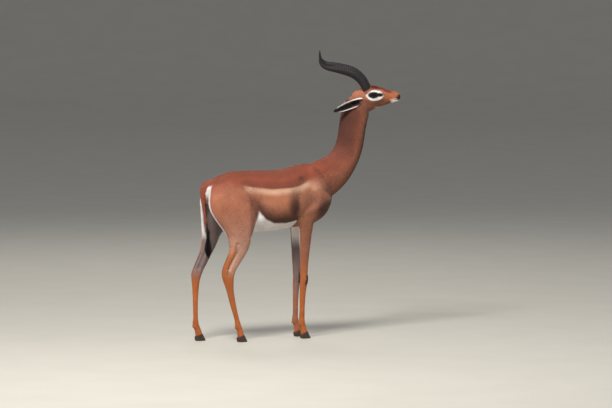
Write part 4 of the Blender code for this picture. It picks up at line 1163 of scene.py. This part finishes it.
cover = maths(grow, "MULTIPLY", given["Density"], read(grow, "density"))
spots = add(
    grow, "GeometryNodeDistributePointsOnFaces",
    {"Mesh": given["Geometry"], "Density": cover, "Seed": given["Seed"]}, distribute_method="RANDOM",
).outputs
axes = {"Primary Axis": spots["Normal"], "Secondary Axis": read(grow, "lie", "FLOAT_VECTOR")}
facing = add(grow, "FunctionNodeAxesToRotation", axes, primary_axis="Z", secondary_axis="X").outputs[0]
lifted = maths(grow, "MULTIPLY", given["Lift"], chance(-1.5, -0.5, 1))
turned = maths(grow, "MULTIPLY", given["Spread"], chance(-1.0, 1.0, 2))
rolled = maths(grow, "MULTIPLY", given["Spread"], chance(-2.0, 2.0, 3))
tilt = add(grow, "ShaderNodeCombineXYZ", {0: rolled, 1: lifted, 2: turned}).outputs[0]
tilt = add(grow, "FunctionNodeEulerToRotation", {0: tilt}).outputs[0]
facing = add(grow, "FunctionNodeRotateRotation", {0: facing, 1: tilt}, rotation_space="LOCAL").outputs[0]
shortest = maths(grow, "SUBTRACT", 1.0, given["Uneven"])
size = read(grow, "size")
longer = maths(grow, "MULTIPLY", maths(grow, "MULTIPLY", size, chance(shortest, 1.0, 4)), given["Length"])
wider, higher = (maths(grow, "MULTIPLY", size, given[way]) for way in ("Width", "Height"))
scale = add(grow, "ShaderNodeCombineXYZ", {0: longer, 1: wider, 2: higher}).outputs[0]
print("nodes that place a blade:", len(grow.nodes))

# %% Plant a blade at each point
root = read(grow, "OFBake", "FLOAT_VECTOR")
rooted = keep(grow, spots["Points"], "root", root, "FLOAT_VECTOR")
rooted = keep(grow, rooted, "tint", maths(grow, "MULTIPLY", given["Tint"], chance(-1.0, 1.0, 5)))
shape = add(grow, "GeometryNodeObjectInfo", {"Object": given["Blade"]}).outputs["Geometry"]
planting = {"Points": rooted, "Instance": shape, "Rotation": facing, "Scale": scale}
hair = add(grow, "GeometryNodeInstanceOnPoints", planting).outputs[0]
hair = add(grow, "GeometryNodeRealizeInstances", {"Geometry": hair}).outputs[0]
patch, root = (read(grow, name, "FLOAT_VECTOR") for name in ("patch", "root"))
place = {0: patch, 1: (PATCH, PATCH, PATCH), 2: root}
place = add(grow, "ShaderNodeVectorMath", place, operation="MULTIPLY_ADD").outputs[0]
hair = keep(grow, hair, "OFBake", place, "FLOAT2", "CORNER")
hair = add(grow, "GeometryNodeSetMaterial", {"Geometry": hair, "Material": given["Finish"]}).outputs[0]
add(grow, "NodeGroupOutput", {"Geometry": hair})
print("grow_hair:", len(grow.nodes), "nodes")


# %% A piece of hair from a surface
ONLY_FOR_GROWING = ("root", "patch", "lie", "density", "size", "grain")


def made_by(tree, obj, values):
    """The plain mesh that a tree makes of an object, with the tree's named inputs set."""
    modifier = obj.modifiers.new("make", "NODES")
    modifier.node_group = tree
    for item in tree.interface.items_tree:
        if item.in_out == "INPUT" and item.name in values:
            modifier[item.identifier] = values[item.name]
    graph = bpy.context.evaluated_depsgraph_get()
    mesh = bpy.data.meshes.new_from_object(obj.evaluated_get(graph))
    obj.modifiers.remove(modifier)
    return mesh


def grown(name, surface, cover, size, blade, finish, **sizes):
    """Hair grown on a surface, as a piece of its own. Its cover and size vary over the surface."""
    store(surface.data, "density", cover)
    store(surface.data, "size", np.broadcast_to(size, len(surface.data.vertices)))
    values = {"Blade": blade, "Finish": finish, **{key.title(): value for key, value in sizes.items()}}
    mesh = made_by(grow, surface, values)
    for spare_name in ONLY_FOR_GROWING:
        if spare_name in mesh.attributes:
            mesh.attributes.remove(mesh.attributes[spare_name])
    obj = object_of(name, mesh)
    print(f"{name}: {triangles(obj)} triangles")
    return obj


# %% [markdown]
# ## The short coat
#
# The coat is short and flat, so most of it is bump on the skin, and the tufts lie almost on it.
# They are longest on the trunk and smallest on the face and feet. Lids, lips and the inside of the
# ears have none. Each region is a piece of its own, which keeps every mesh small enough to export.

# %% Sizes of the coat over the body
TUFT_LENGTH, TUFT_WIDTH, TUFT_HEIGHT = 0.0125, 0.0016, 0.00042
body_size = np.interp(z, (0.03, 0.12, 0.50, 0.65, 0.80), (0.42, 0.48, 0.60, 0.90, 1.0))
head_size = np.interp(hx, (-0.10, -0.04, 0.06, 0.14), (0.75, 0.50, 0.36, 0.24))
coat_size = np.where(on_head, head_size, np.where(on_ears, 0.34, np.where(on_tail, 0.7, body_size)))
linked = neighbours(skin)
for _ in range(20):
    coat_size = average(coat_size[:, None], *linked)[:, 0]
eye_away = from_eye(in_head(points))
near_eye = 0.55 + 0.45 * smooth_step(0.020, 0.032, eye_away)
coat_size = np.where(on_head, coat_size * near_eye, coat_size)
hairless = any_of((0.0190 - eye_away) / 0.0015, bare)
covered = 1 - smooth_step(-0.5, 0.5, hairless)
covered = np.where(on_ears & (ear_inside > 0.1), 0, covered)
from_seam = np.minimum(*from_cuts(points))
covered *= np.where(owned_by(*BODY, "head"), smooth_step(0.0010, 0.0035, from_seam), 1)
print("tufts are", [round(TUFT_LENGTH * share, 4) for share in (coat_size.min(), coat_size.max())], "m long")

# %% Grow the coat region by region
FIELDS = {  # points of the skin in each region, tufts on a square metre at full size
    "coat_flank_right": (on_torso & (y < 0), 140000),
    "coat_flank_left": (on_torso & (y >= 0), 140000),
    "coat_neck": (on_neck | on_tail, 150000),
    "coat_head": (on_head | on_ears, 88000),
    "coat_foreleg_right": (owned_by("foreleg_right"), 90000),
    "coat_foreleg_left": (owned_by("foreleg_left"), 90000),
    "coat_hindleg_right": (owned_by("hindleg_right"), 85000),
    "coat_hindleg_left": (owned_by("hindleg_left"), 85000),
}
coat = [
    grown(
        name, skin, where * covered / np.maximum(coat_size, 0.2) ** 1.5, coat_size, coat_blade, tuft_finish,
        density=float(density), length=TUFT_LENGTH, width=TUFT_WIDTH, height=TUFT_HEIGHT,
        lift=0.05, spread=0.18, uneven=0.45, tint=0.08, seed=index + 1,
    )
    for index, (name, (where, density)) in enumerate(FIELDS.items())
]

# %% [markdown]
# ## Long hair
#
# Long hair is the same tree with other sizes, mostly with a longer blade of more rows, so that it
# can bow. White hair fringes the inside of each ear, a low forelock stands before the horns, lashes
# shade the eyes, a short dark brush stands on each knee, and the tail ends in a black tuft, which
# grows from a slim core inside it.

# %% Materials of the long hair
def hair_finish(name, roughness, specular, middle, dark_paint, light_paint):
    """Hair whose colour runs between two from tuft to tuft."""
    material, tree, shader = new_material(name, roughness=roughness, specular_ior_level=specular)
    share = maths(tree, "MULTIPLY_ADD", mark_of(tree, "tint"), 2.0, middle)
    painted_with(tree, shader, blend(tree, share, dark_paint, light_paint))
    return material


black_hair = hair_finish("black_hair", 0.45, 0.35, 0.4, colour(14, 12, 13), colour(46, 38, 36))
white_hair = hair_finish("white_hair", 0.50, 0.30, 0.5, colour(206, 196, 186), colour(244, 240, 236))
print("materials:", black_hair.name, white_hair.name)

# %% Ear fringes and knee brushes
fringe_lie = lie.copy()
for side in SIDES:
    root, tip, along, opens, across = (np.array(v) for v in ear_axes(side))
    here = owned_by("ear_" + side)
    inwards = -np.sign(rim_share)[here, None] * across
    fringe_lie[here] = (along * 0.95 + inwards * 0.30 + opens * 0.10) @ head_axes.T
store(skin.data, "lie", fringe_lie, "FLOAT_VECTOR")
rims = on_ears & (ear_inside > 0.05)
fringed = rims * smooth_step(0.40, 0.70, rim_share) * smooth_step(0.20, 0.35, ear_share)
fringe = grown(
    "ear_fringes", skin, fringed * (ear_share < 0.85), 1.0, long_blade, white_hair,
    density=300000.0, length=0.0130, width=0.0005, height=0.0008, lift=0.07, spread=0.14, uneven=0.6,
    tint=0.2, seed=21,
)
knee = on_fore & (normals[:, 0] > 0.1) & (np.abs(z - KNEE) < 0.026)
store(skin.data, "lie", lie, "FLOAT_VECTOR")
brushes = grown(
    "knee_brushes", skin, knee * 1.0, 1.0, long_blade, black_hair,
    density=80000.0, length=0.013, width=0.0011, height=0.0016, lift=0.06, spread=0.20, uneven=0.4,
    tint=0.2, seed=22,
)

# %% A forelock before the horns, and lashes
LID_REACH = 0.0192  # how far the edge of the lids lies from the eye's middle
crown = on_head & (hz > 0.026) & (h_side < 0.026) & (hx > -0.020)
forelock = grown(
    "forelock", skin, crown * (1 - smooth_step(0.015, 0.045, hx)), 1.0, coat_blade, tuft_finish,
    density=150000.0, length=0.018, width=0.0015, height=0.0006, lift=0.34, spread=0.25, uneven=0.5,
    tint=0.12, seed=24,
)
from_lid = folded - np.array(EYE_PLACE)
lid = on_head & (np.abs(eye_away - LID_REACH) < 0.0012) & (from_lid[:, 2] > 0.004)
lash_lie = from_lid * (1, 0, 1) + (0.006, 0, -0.004)
lash_lie[:, 1] = 0.010 * np.sign(hy)
store(skin.data, "lie", laid_flat(lash_lie @ head_axes.T), "FLOAT_VECTOR")
lashes = grown(
    "eyelashes", skin, lid * 1.0, 1.0, long_blade, black_hair,
    density=200000.0, length=0.0065, width=0.0004, height=0.0012, lift=0.40, spread=0.12, uneven=0.3,
    tint=0.1, seed=25,
)
store(skin.data, "lie", lie, "FLOAT_VECTOR")

# %% The tail's tuft
CORE = [  # height, radius
    (0.604, 0.0050), (0.565, 0.0052), (0.535, 0.0075), (0.505, 0.0065), (0.475, 0.0015),
]
TUFT_LENGTHS = ((0.475, 0.50, 0.545, 0.575, 0.60), (0.50, 0.75, 1.0, 0.45, 0.30))  # height, share
tuft_middle = middle_of("tail_tuft")
bm = bmesh.new()
rings = []
for core_height, radius in spline(CORE, 5):
    rings.append([bm.verts.new(place) for place in circle(tuft_middle, radius, core_height, 12)])
loft(bm, rings)
bmesh.ops.recalc_face_normals(bm, faces=bm.faces)
tuft_core = object_from("tail_tuft_core", bm)
tuft_core.data.materials.append(black_hair)
tuft_core.data.shade_smooth()
core_points = points_of(tuft_core)
store(tuft_core.data, "lie", np.tile((0.0, 0.0, -1.0), (len(core_points), 1)), "FLOAT_VECTOR")
corner_places = core_points[corner_arrays(tuft_core.data)[0]]
from_core = corner_places - np.array(tuft_middle)
core_turn = np.arctan2(from_core[:, 1], from_core[:, 0]) / (2 * math.pi) + 0.5
core_uv = np.stack([core_turn, (corner_places[:, 2] - 0.45) * 5], 1)
core_map = tuft_core.data.uv_layers.new(name="OFBake")
core_map.data.foreach_set("uv", core_uv.ravel().astype(np.float32))
tuft = grown(
    "tail_tuft_hair", tuft_core, 1.0 * (np.abs(normals_of(tuft_core)[:, 2]) < 0.5),
    np.interp(core_points[:, 2], *TUFT_LENGTHS), long_blade, black_hair,
    density=260000.0, length=0.066, width=0.0022, height=0.0050, lift=0.045, spread=0.07, uneven=0.4,
    tint=0.2, seed=23,
)

# %% [markdown]
# ## Ringed horns
#
# A gerenuk's horns are S-shaped and ringed from the root to near the tip. A horn's shape follows a
# rule, so Geometry Nodes make it: a tube along the curve, and each ring a ridge raised by a sine of
# how far along the horn a point lies. The ridges fade towards the tip, and noise makes the horn a
# little uneven. The root is left out where it would lie inside the head.

# %% The horn's measures
HORN_POINTS = [
    (-0.027, 0.021, 0.013), (-0.0395, 0.024, 0.0435), (-0.068, 0.032, 0.0905), (-0.116, 0.045, 0.1275),
    (-0.189, 0.060, 0.1495), (-0.256, 0.066, 0.1635), (-0.287, 0.063, 0.190), (-0.292, 0.058, 0.237),
]
HORN_RADII = [  # share of the length, radius
    (0.0, 0.0150), (0.05, 0.0215), (0.10, 0.0238), (0.2, 0.0243), (0.4, 0.0232), (0.6, 0.0188),
    (0.8, 0.0120), (0.93, 0.0058), (1.0, 0.0016),
]
HORN_INPUTS = [
    ("Rings", "Float", 27.0), ("Ringed to", "Float", 0.82), ("Ring height", "Float", 0.0024),
    ("Steps", "Int", 460), ("Narrowness", "Float", 0.84), ("Unevenness", "Float", 0.0008),
    ("Finish", "Material", None),
]
HORN_BURIED = 0.050  # the share of a horn that is left out, inside the head
RINGS_LOST = 0.0012  # the tube is this much thinner than the solid, whose rings it raises
RINGED_TO = 0.8  # the share of a horn over which it is thinner
print("thickest radius of a horn:", max(radius for _, radius in HORN_RADII), "m")

# %% The tree that makes a horn
ringed, given = new_tree("ringed_horn", HORN_INPUTS)
path = add(ringed, "GeometryNodeMeshToCurve", {"Mesh": given["Geometry"]}).outputs[0]
path = add(ringed, "GeometryNodeResampleCurve", {"Curve": path, "Count": given["Steps"]}).outputs[0]
path = keep(ringed, path, "along", add(ringed, "GeometryNodeSplineParameter").outputs["Factor"])
profile = add(ringed, "GeometryNodeCurvePrimitiveCircle", {"Resolution": 36, "Radius": 1.0}).outputs[0]
oval_size = add(ringed, "ShaderNodeCombineXYZ", {0: given["Narrowness"], 1: 1.0, 2: 1.0}).outputs[0]
profile = add(ringed, "GeometryNodeTransform", {"Geometry": profile, "Scale": oval_size}).outputs[0]
sweep = {"Curve": path, "Profile Curve": profile, "Scale": read(ringed, "thickness"), "Fill Caps": True}
tube = add(ringed, "GeometryNodeCurveToMesh", sweep).outputs[0]
along = read(ringed, "along")
ring_place = maths(ringed, "DIVIDE", along, given["Ringed to"])
wave = maths(ringed, "FRACT", maths(ringed, "MULTIPLY", ring_place, given["Rings"]))
ridge = maths(ringed, "POWER", maths(ringed, "SINE", maths(ringed, "MULTIPLY", wave, math.pi)), 1.6)
fade = ramp(ringed, ring_place, 0.80, 1.0, 1.0, 0.0)
thin = ramp(ringed, along, 0.2, 0.9, 1.0, 0.45)
ring_height = maths(ringed, "MULTIPLY", thin, given["Ring height"])
ridge = maths(ringed, "MULTIPLY", maths(ringed, "MULTIPLY", ridge, fade), ring_height)
unevenness = maths(ringed, "SUBTRACT", noise(ringed, 90.0, 2.0), 0.5)
rough = maths(ringed, "MULTIPLY", unevenness, given["Unevenness"])
push = {0: add(ringed, "GeometryNodeInputNormal").outputs[0], "Scale": maths(ringed, "ADD", ridge, rough)}
push = add(ringed, "ShaderNodeVectorMath", push, operation="SCALE").outputs[0]
horn = add(ringed, "GeometryNodeSetPosition", {"Geometry": tube, "Offset": push}).outputs[0]
horn = keep(ringed, horn, "ridge", ridge)
horn = add(ringed, "GeometryNodeSetShadeSmooth", {"Geometry": horn}).outputs[0]
horn = add(ringed, "GeometryNodeRealizeInstances", {"Geometry": horn}).outputs[0]
horn = add(ringed, "GeometryNodeSetMaterial", {"Geometry": horn, "Material": given["Finish"]}).outputs[0]
add(ringed, "NodeGroupOutput", {"Geometry": horn})
print("ringed_horn:", len(ringed.nodes), "nodes")


# %% The horns' material
horn_finish, tree, shader = new_material("horn", roughness=0.58, specular_ior_level=0.28)
here = in_object(tree)
raised = ramp(tree, mark_of(tree, "ridge"), 0.0, 0.0026)
base = blend(tree, noise(tree, 55.0, 5.0, here), colour(18, 14, 17), colour(37, 30, 34))
worn = blend(tree, maths(tree, "MULTIPLY", raised, 0.45), base, colour(56, 46, 50))
fibres = add(tree, "ShaderNodeMapping", {"Vector": here, "Scale": (420.0, 420.0, 60.0)}).outputs[0]
painted_with(tree, shader, worn, noise(tree, 1.0, 3.0, fibres), 0.5, 0.0008)
print("horn:", len(tree.nodes), "nodes")

# %% Two horns
horns = {}
for side, sign in SIDES.items():
    line = spline([(x, sign * y, z) for x, y, z in HORN_POINTS], 24)
    lengths = np.concatenate([[0], np.cumsum(np.linalg.norm(np.diff(line, axis=0), axis=1))])
    radii = np.interp(lengths / lengths[-1], *np.array(HORN_RADII).T)
    thickness = radii - RINGS_LOST * (lengths < RINGED_TO * lengths[-1])
    bm = bmesh.new()
    shown = lengths > HORN_BURIED * lengths[-1]
    path = [bm.verts.new(head_frame @ Vector(point)) for point in line[shown]]
    for start, end in zip(path, path[1:]):
        bm.edges.new((start, end))
    obj = object_from("horn_line", bm)
    store(obj.data, "thickness", thickness[shown])
    horns[side] = object_of("ringed_horn_" + side, made_by(ringed, obj, {"Finish": horn_finish}))
    bpy.data.objects.remove(obj)
    print("horn", side, triangles(horns[side]), "triangles, length", round(float(lengths[-1]), 3))

# %% [markdown]
# ## Wet eyes
#
# A gerenuk's eye is large, dark and wet, with a pupil that lies flat like a letter slot. Each is a
# ball with a slightly bulged window in front. A direction stored at each point says how far it lies
# from the middle of the gaze, so the iris and the pupil turn with the eye.

# %% Eyes with an iris and a flat pupil
EYE_LOOKS = Vector((0.30, 0.94, 0.06))
CORNEA = 0.0006  # how far the window bulges
PUPIL_HALF_LENGTH, PUPIL_HALF_HEIGHT = 0.0062, 0.0036
eye_finish, tree, shader = new_material(
    "wet_eye", roughness=0.10, specular_ior_level=0.25, coat_weight=0.15, coat_roughness=0.02
)
gaze = mark_of(tree, "gaze", "Vector")
split = add(tree, "ShaderNodeSeparateXYZ", {0: gaze}).outputs
across = maths(tree, "DIVIDE", split[0], PUPIL_HALF_LENGTH)
down = maths(tree, "DIVIDE", split[1], PUPIL_HALF_HEIGHT)
squares = [maths(tree, "MULTIPLY", part, part) for part in (across, down)]
from_pupil = maths(tree, "SQRT", maths(tree, "ADD", *squares))
from_middle = add(tree, "ShaderNodeVectorMath", {0: gaze}, operation="LENGTH").outputs["Value"]
iris = blend(tree, noise(tree, 700.0, 3.0, gaze), colour(20, 11, 8), colour(36, 20, 13))
iris = blend(tree, ramp(tree, from_middle, 0.0090, 0.0125), iris, colour(8, 6, 6))
iris = blend(tree, ramp(tree, from_pupil, 1.15, 0.9), iris, colour(6, 6, 9))
painted_with(tree, shader, iris)
print("wet_eye:", len(tree.nodes), "nodes")

# %% Two eyeballs
eyes = {}
for side, sign in SIDES.items():
    middle = head_frame @ (EYE_PLACE * Vector((1, sign, 1)))
    looks = (head_turn @ (EYE_LOOKS * Vector((1, sign, 1)))).normalized()
    level = looks.cross(Vector((0, 0, 1))).normalized()
    bm = bmesh.new()
    bmesh.ops.create_uvsphere(bm, u_segments=64, v_segments=48, radius=EYE_RADIUS)
    turn = looks.to_track_quat("Z", "Y").to_matrix()
    bmesh.ops.transform(bm, matrix=turn.to_4x4(), verts=bm.verts)
    for vert in bm.verts:
        toward = vert.co.normalized().dot(looks)
        vert.co *= 1 + CORNEA / EYE_RADIUS * float(smooth_step(0.72, 0.90, toward))
    eyeball = object_from("eyeball_" + side, bm)
    local = points_of(eyeball)
    level_part, steep_part = local @ np.array(level), local @ np.array(looks.cross(level))
    at_back = (local @ np.array(looks) < 0) * 0.02  # keeps the iris off the back of the ball
    store(eyeball.data, "gaze", np.stack([level_part, steep_part, at_back], 1), "FLOAT_VECTOR")
    set_points(eyeball, local + np.array(middle))
    eyeball.data.shade_smooth()
    eyeball.data.materials.append(eye_finish)
    eyes[side] = eyeball
print("eyes", [triangles(eye) for eye in eyes.values()])

# %% [markdown]
# ## Hooves
#
# The eight small hooves are single solids already, each with its true place and tread. A finer copy
# of each, remeshed and relaxed, gets a rounded wall, while the sole stays flat on the ground. Low
# growth rings follow the coronet round the wall.

# %% The hooves' material
HOOVES = [name for name in nodes if name.startswith("hoof_")]
HOOF_GRID, SOLE_FLAT = (0.0014, 10), 0.0016
hoof_finish, tree, shader = new_material("hoof_horn", roughness=0.42, specular_ior_level=0.4)
here = in_object(tree)
layers = {"Vector": here, "Scale": 110.0, "Distortion": 1.6, "Detail": 2.0}
layers = add(tree, "ShaderNodeTexWave", layers, bands_direction="Z").outputs[1]
stained = blend(tree, noise(tree, 60.0, 4.0, here), colour(30, 24, 22), colour(84, 68, 56))
painted_with(tree, shader, stained, layers, 0.35, 0.0008)
print("hoof_horn:", len(tree.nodes), "nodes")

# %% Eight hooves
hooves = []
for name in HOOVES:
    obj = wrapped(flesh([name]), *HOOF_GRID)
    obj.name = name.replace("hoof", "horny_hoof")
    points = points_of(obj)
    points[:, 2] = np.where(points[:, 2] < SOLE_FLAT, 0.0, points[:, 2])
    set_points(obj, points)
    obj.data.shade_smooth()
    obj.data.materials.clear()
    obj.data.materials.append(hoof_finish)
    hooves.append(obj)
print("hooves", sum(triangles(hoof) for hoof in hooves), "triangles")

# %% [markdown]
# ## Floor, light and camera
#
# The model stands on a plain pale floor, a wide shallow bowl whose rim rises far off, so that no
# horizon cuts the picture. In the photograph the light is the high light of a clear day, stronger
# from the front left and above, so one lamp leads there and two soften it. The camera stands far
# off with a long lens, so the picture is nearly flat, and looks along the photograph's own angle.

# %% The floor
FLOOR_PROFILE = [  # radius, height
    (24.0, 0.0), (27.0, 0.35), (29.5, 1.5), (31.5, 3.5), (33.0, 6.5), (34.0, 11.0),
]
floor_finish, tree, shader = new_material("pale_floor", roughness=0.9, specular_ior_level=0.1)
dust = noise(tree, 3.0, 2.0, in_object(tree))
painted_with(tree, shader, blend(tree, dust, colour(186, 182, 172), colour(194, 190, 180)))
bm = bmesh.new()
rings = []
for radius, height in spline(FLOOR_PROFILE, 6):
    rings.append([bm.verts.new(place) for place in circle((0, 0), radius, height, 128)])
bm.faces.new(rings[0])
loft(bm, rings, ends=())
bmesh.ops.recalc_face_normals(bm, faces=bm.faces)
bm.faces.ensure_lookup_table()
if bm.faces[0].normal.z < 0:
    bmesh.ops.reverse_faces(bm, faces=bm.faces)
floor = object_from("floor", bm)
floor.data.shade_smooth()
floor.data.materials.append(floor_finish)
print("floor", 2 * FLOOR_PROFILE[-1][0], "m across")

# %% The light
world = bpy.data.worlds.new("pale_room")
world.use_nodes = True
sky = world.node_tree.nodes["Background"].inputs
sky["Color"].default_value = colour(228, 232, 238)
sky["Strength"].default_value = 0.40
bpy.context.scene.world = world
bpy.context.scene.view_settings.view_transform = "Standard"

AIM = Vector((0.0, 0.0, 0.80))


def soft_light(name, way, distance, size, power, paint):
    """A square lamp that stands off in one direction and faces the model."""
    lamp = bpy.data.lights.new(name, "AREA")
    lamp.size, lamp.energy, lamp.color = size, power, paint
    obj = object_of(name, lamp)
    obj.location = AIM + Vector(way).normalized() * distance
    obj.rotation_euler = (AIM - obj.location).to_track_quat("-Z", "Y").to_euler()


soft_light("key_light", (-0.60, -0.62, 0.95), 6.0, 1.8, 460, (1.0, 0.975, 0.94))
soft_light("fill_light", (0.9, -0.6, 0.5), 7.0, 4.0, 70, (0.94, 0.97, 1.0))
soft_light("back_light", (0.2, 0.9, 0.8), 7.0, 3.0, 110, (1.0, 0.98, 0.95))
print("lamps:", [lamp.name for lamp in bpy.data.lights])

# %% The camera
AZIMUTH, ELEVATION = math.radians(-25), math.radians(4)
PHOTO_WIDTH, PHOTO_HEIGHT = 612, 408
PIXELS_PER_METRE = 184
ORIGIN_PIXEL = (297, 337.5)  # where the drawing's origin falls in the photograph
DISTANCE = 20.0
right = Vector((math.cos(AZIMUTH), math.sin(AZIMUTH), 0))
level_back = Vector((math.sin(AZIMUTH), -math.cos(AZIMUTH), 0))
back = level_back * math.cos(ELEVATION) + upward * math.sin(ELEVATION)
up = back.cross(right)
middle = right * ((PHOTO_WIDTH / 2 - ORIGIN_PIXEL[0]) / PIXELS_PER_METRE)
middle += up * ((ORIGIN_PIXEL[1] - PHOTO_HEIGHT / 2) / PIXELS_PER_METRE)
camera = bpy.data.cameras.new("camera")
camera.sensor_width = 36.0
camera.lens = camera.sensor_width * DISTANCE / (PHOTO_WIDTH / PIXELS_PER_METRE)
camera.clip_end = 100
stand = object_of("camera", camera)
turned_to = Matrix((right, up, back)).transposed().to_4x4()
stand.matrix_world = Matrix.Translation(DRAWN_FROM + middle + back * DISTANCE) @ turned_to
bpy.context.scene.camera = stand
print("lens", round(camera.lens, 1))

# %% [markdown]
# ## Handing the pieces to the frame
#
# Every piece rides on the one body, because the model is still, and the solids that it stands
# for are hidden.

# %% Ride and replace
RED_COATS = ("coat_flank_right", "coat_flank_left", "coat_neck")
PIECES = [  # piece, finish slot, solids that it stands for
    (skin, "coat_tan", [*BODY, "head", *EARS]),
    *[(piece, "coat_red" if piece.name in RED_COATS else "coat_tan", []) for piece in coat],
    (fringe, "ear", []),
    (brushes, "black_hair", []),
    (forelock, "coat_red", []),
    (lashes, "black_hair", []),
    (tuft_core, "black_hair", ["tail_tuft"]),
    (tuft, "black_hair", []),
    *[(horns[side], "horn", ["horn_" + side]) for side in SIDES],
    *[(eyes[side], "eye", ["eye_" + side]) for side in SIDES],
    *[(hoof, "hoof", [name]) for hoof, name in zip(hooves, HOOVES)],
]
for helper in (coat_blade, long_blade):
    bpy.data.objects.remove(helper)
for piece, finish, solids_replaced in PIECES:
    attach(piece, "root")
    if solids_replaced:
        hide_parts(*solids_replaced)
total = sum(triangles(piece) for piece, _, _ in PIECES)
print(len(PIECES), "pieces,", total, "triangles")
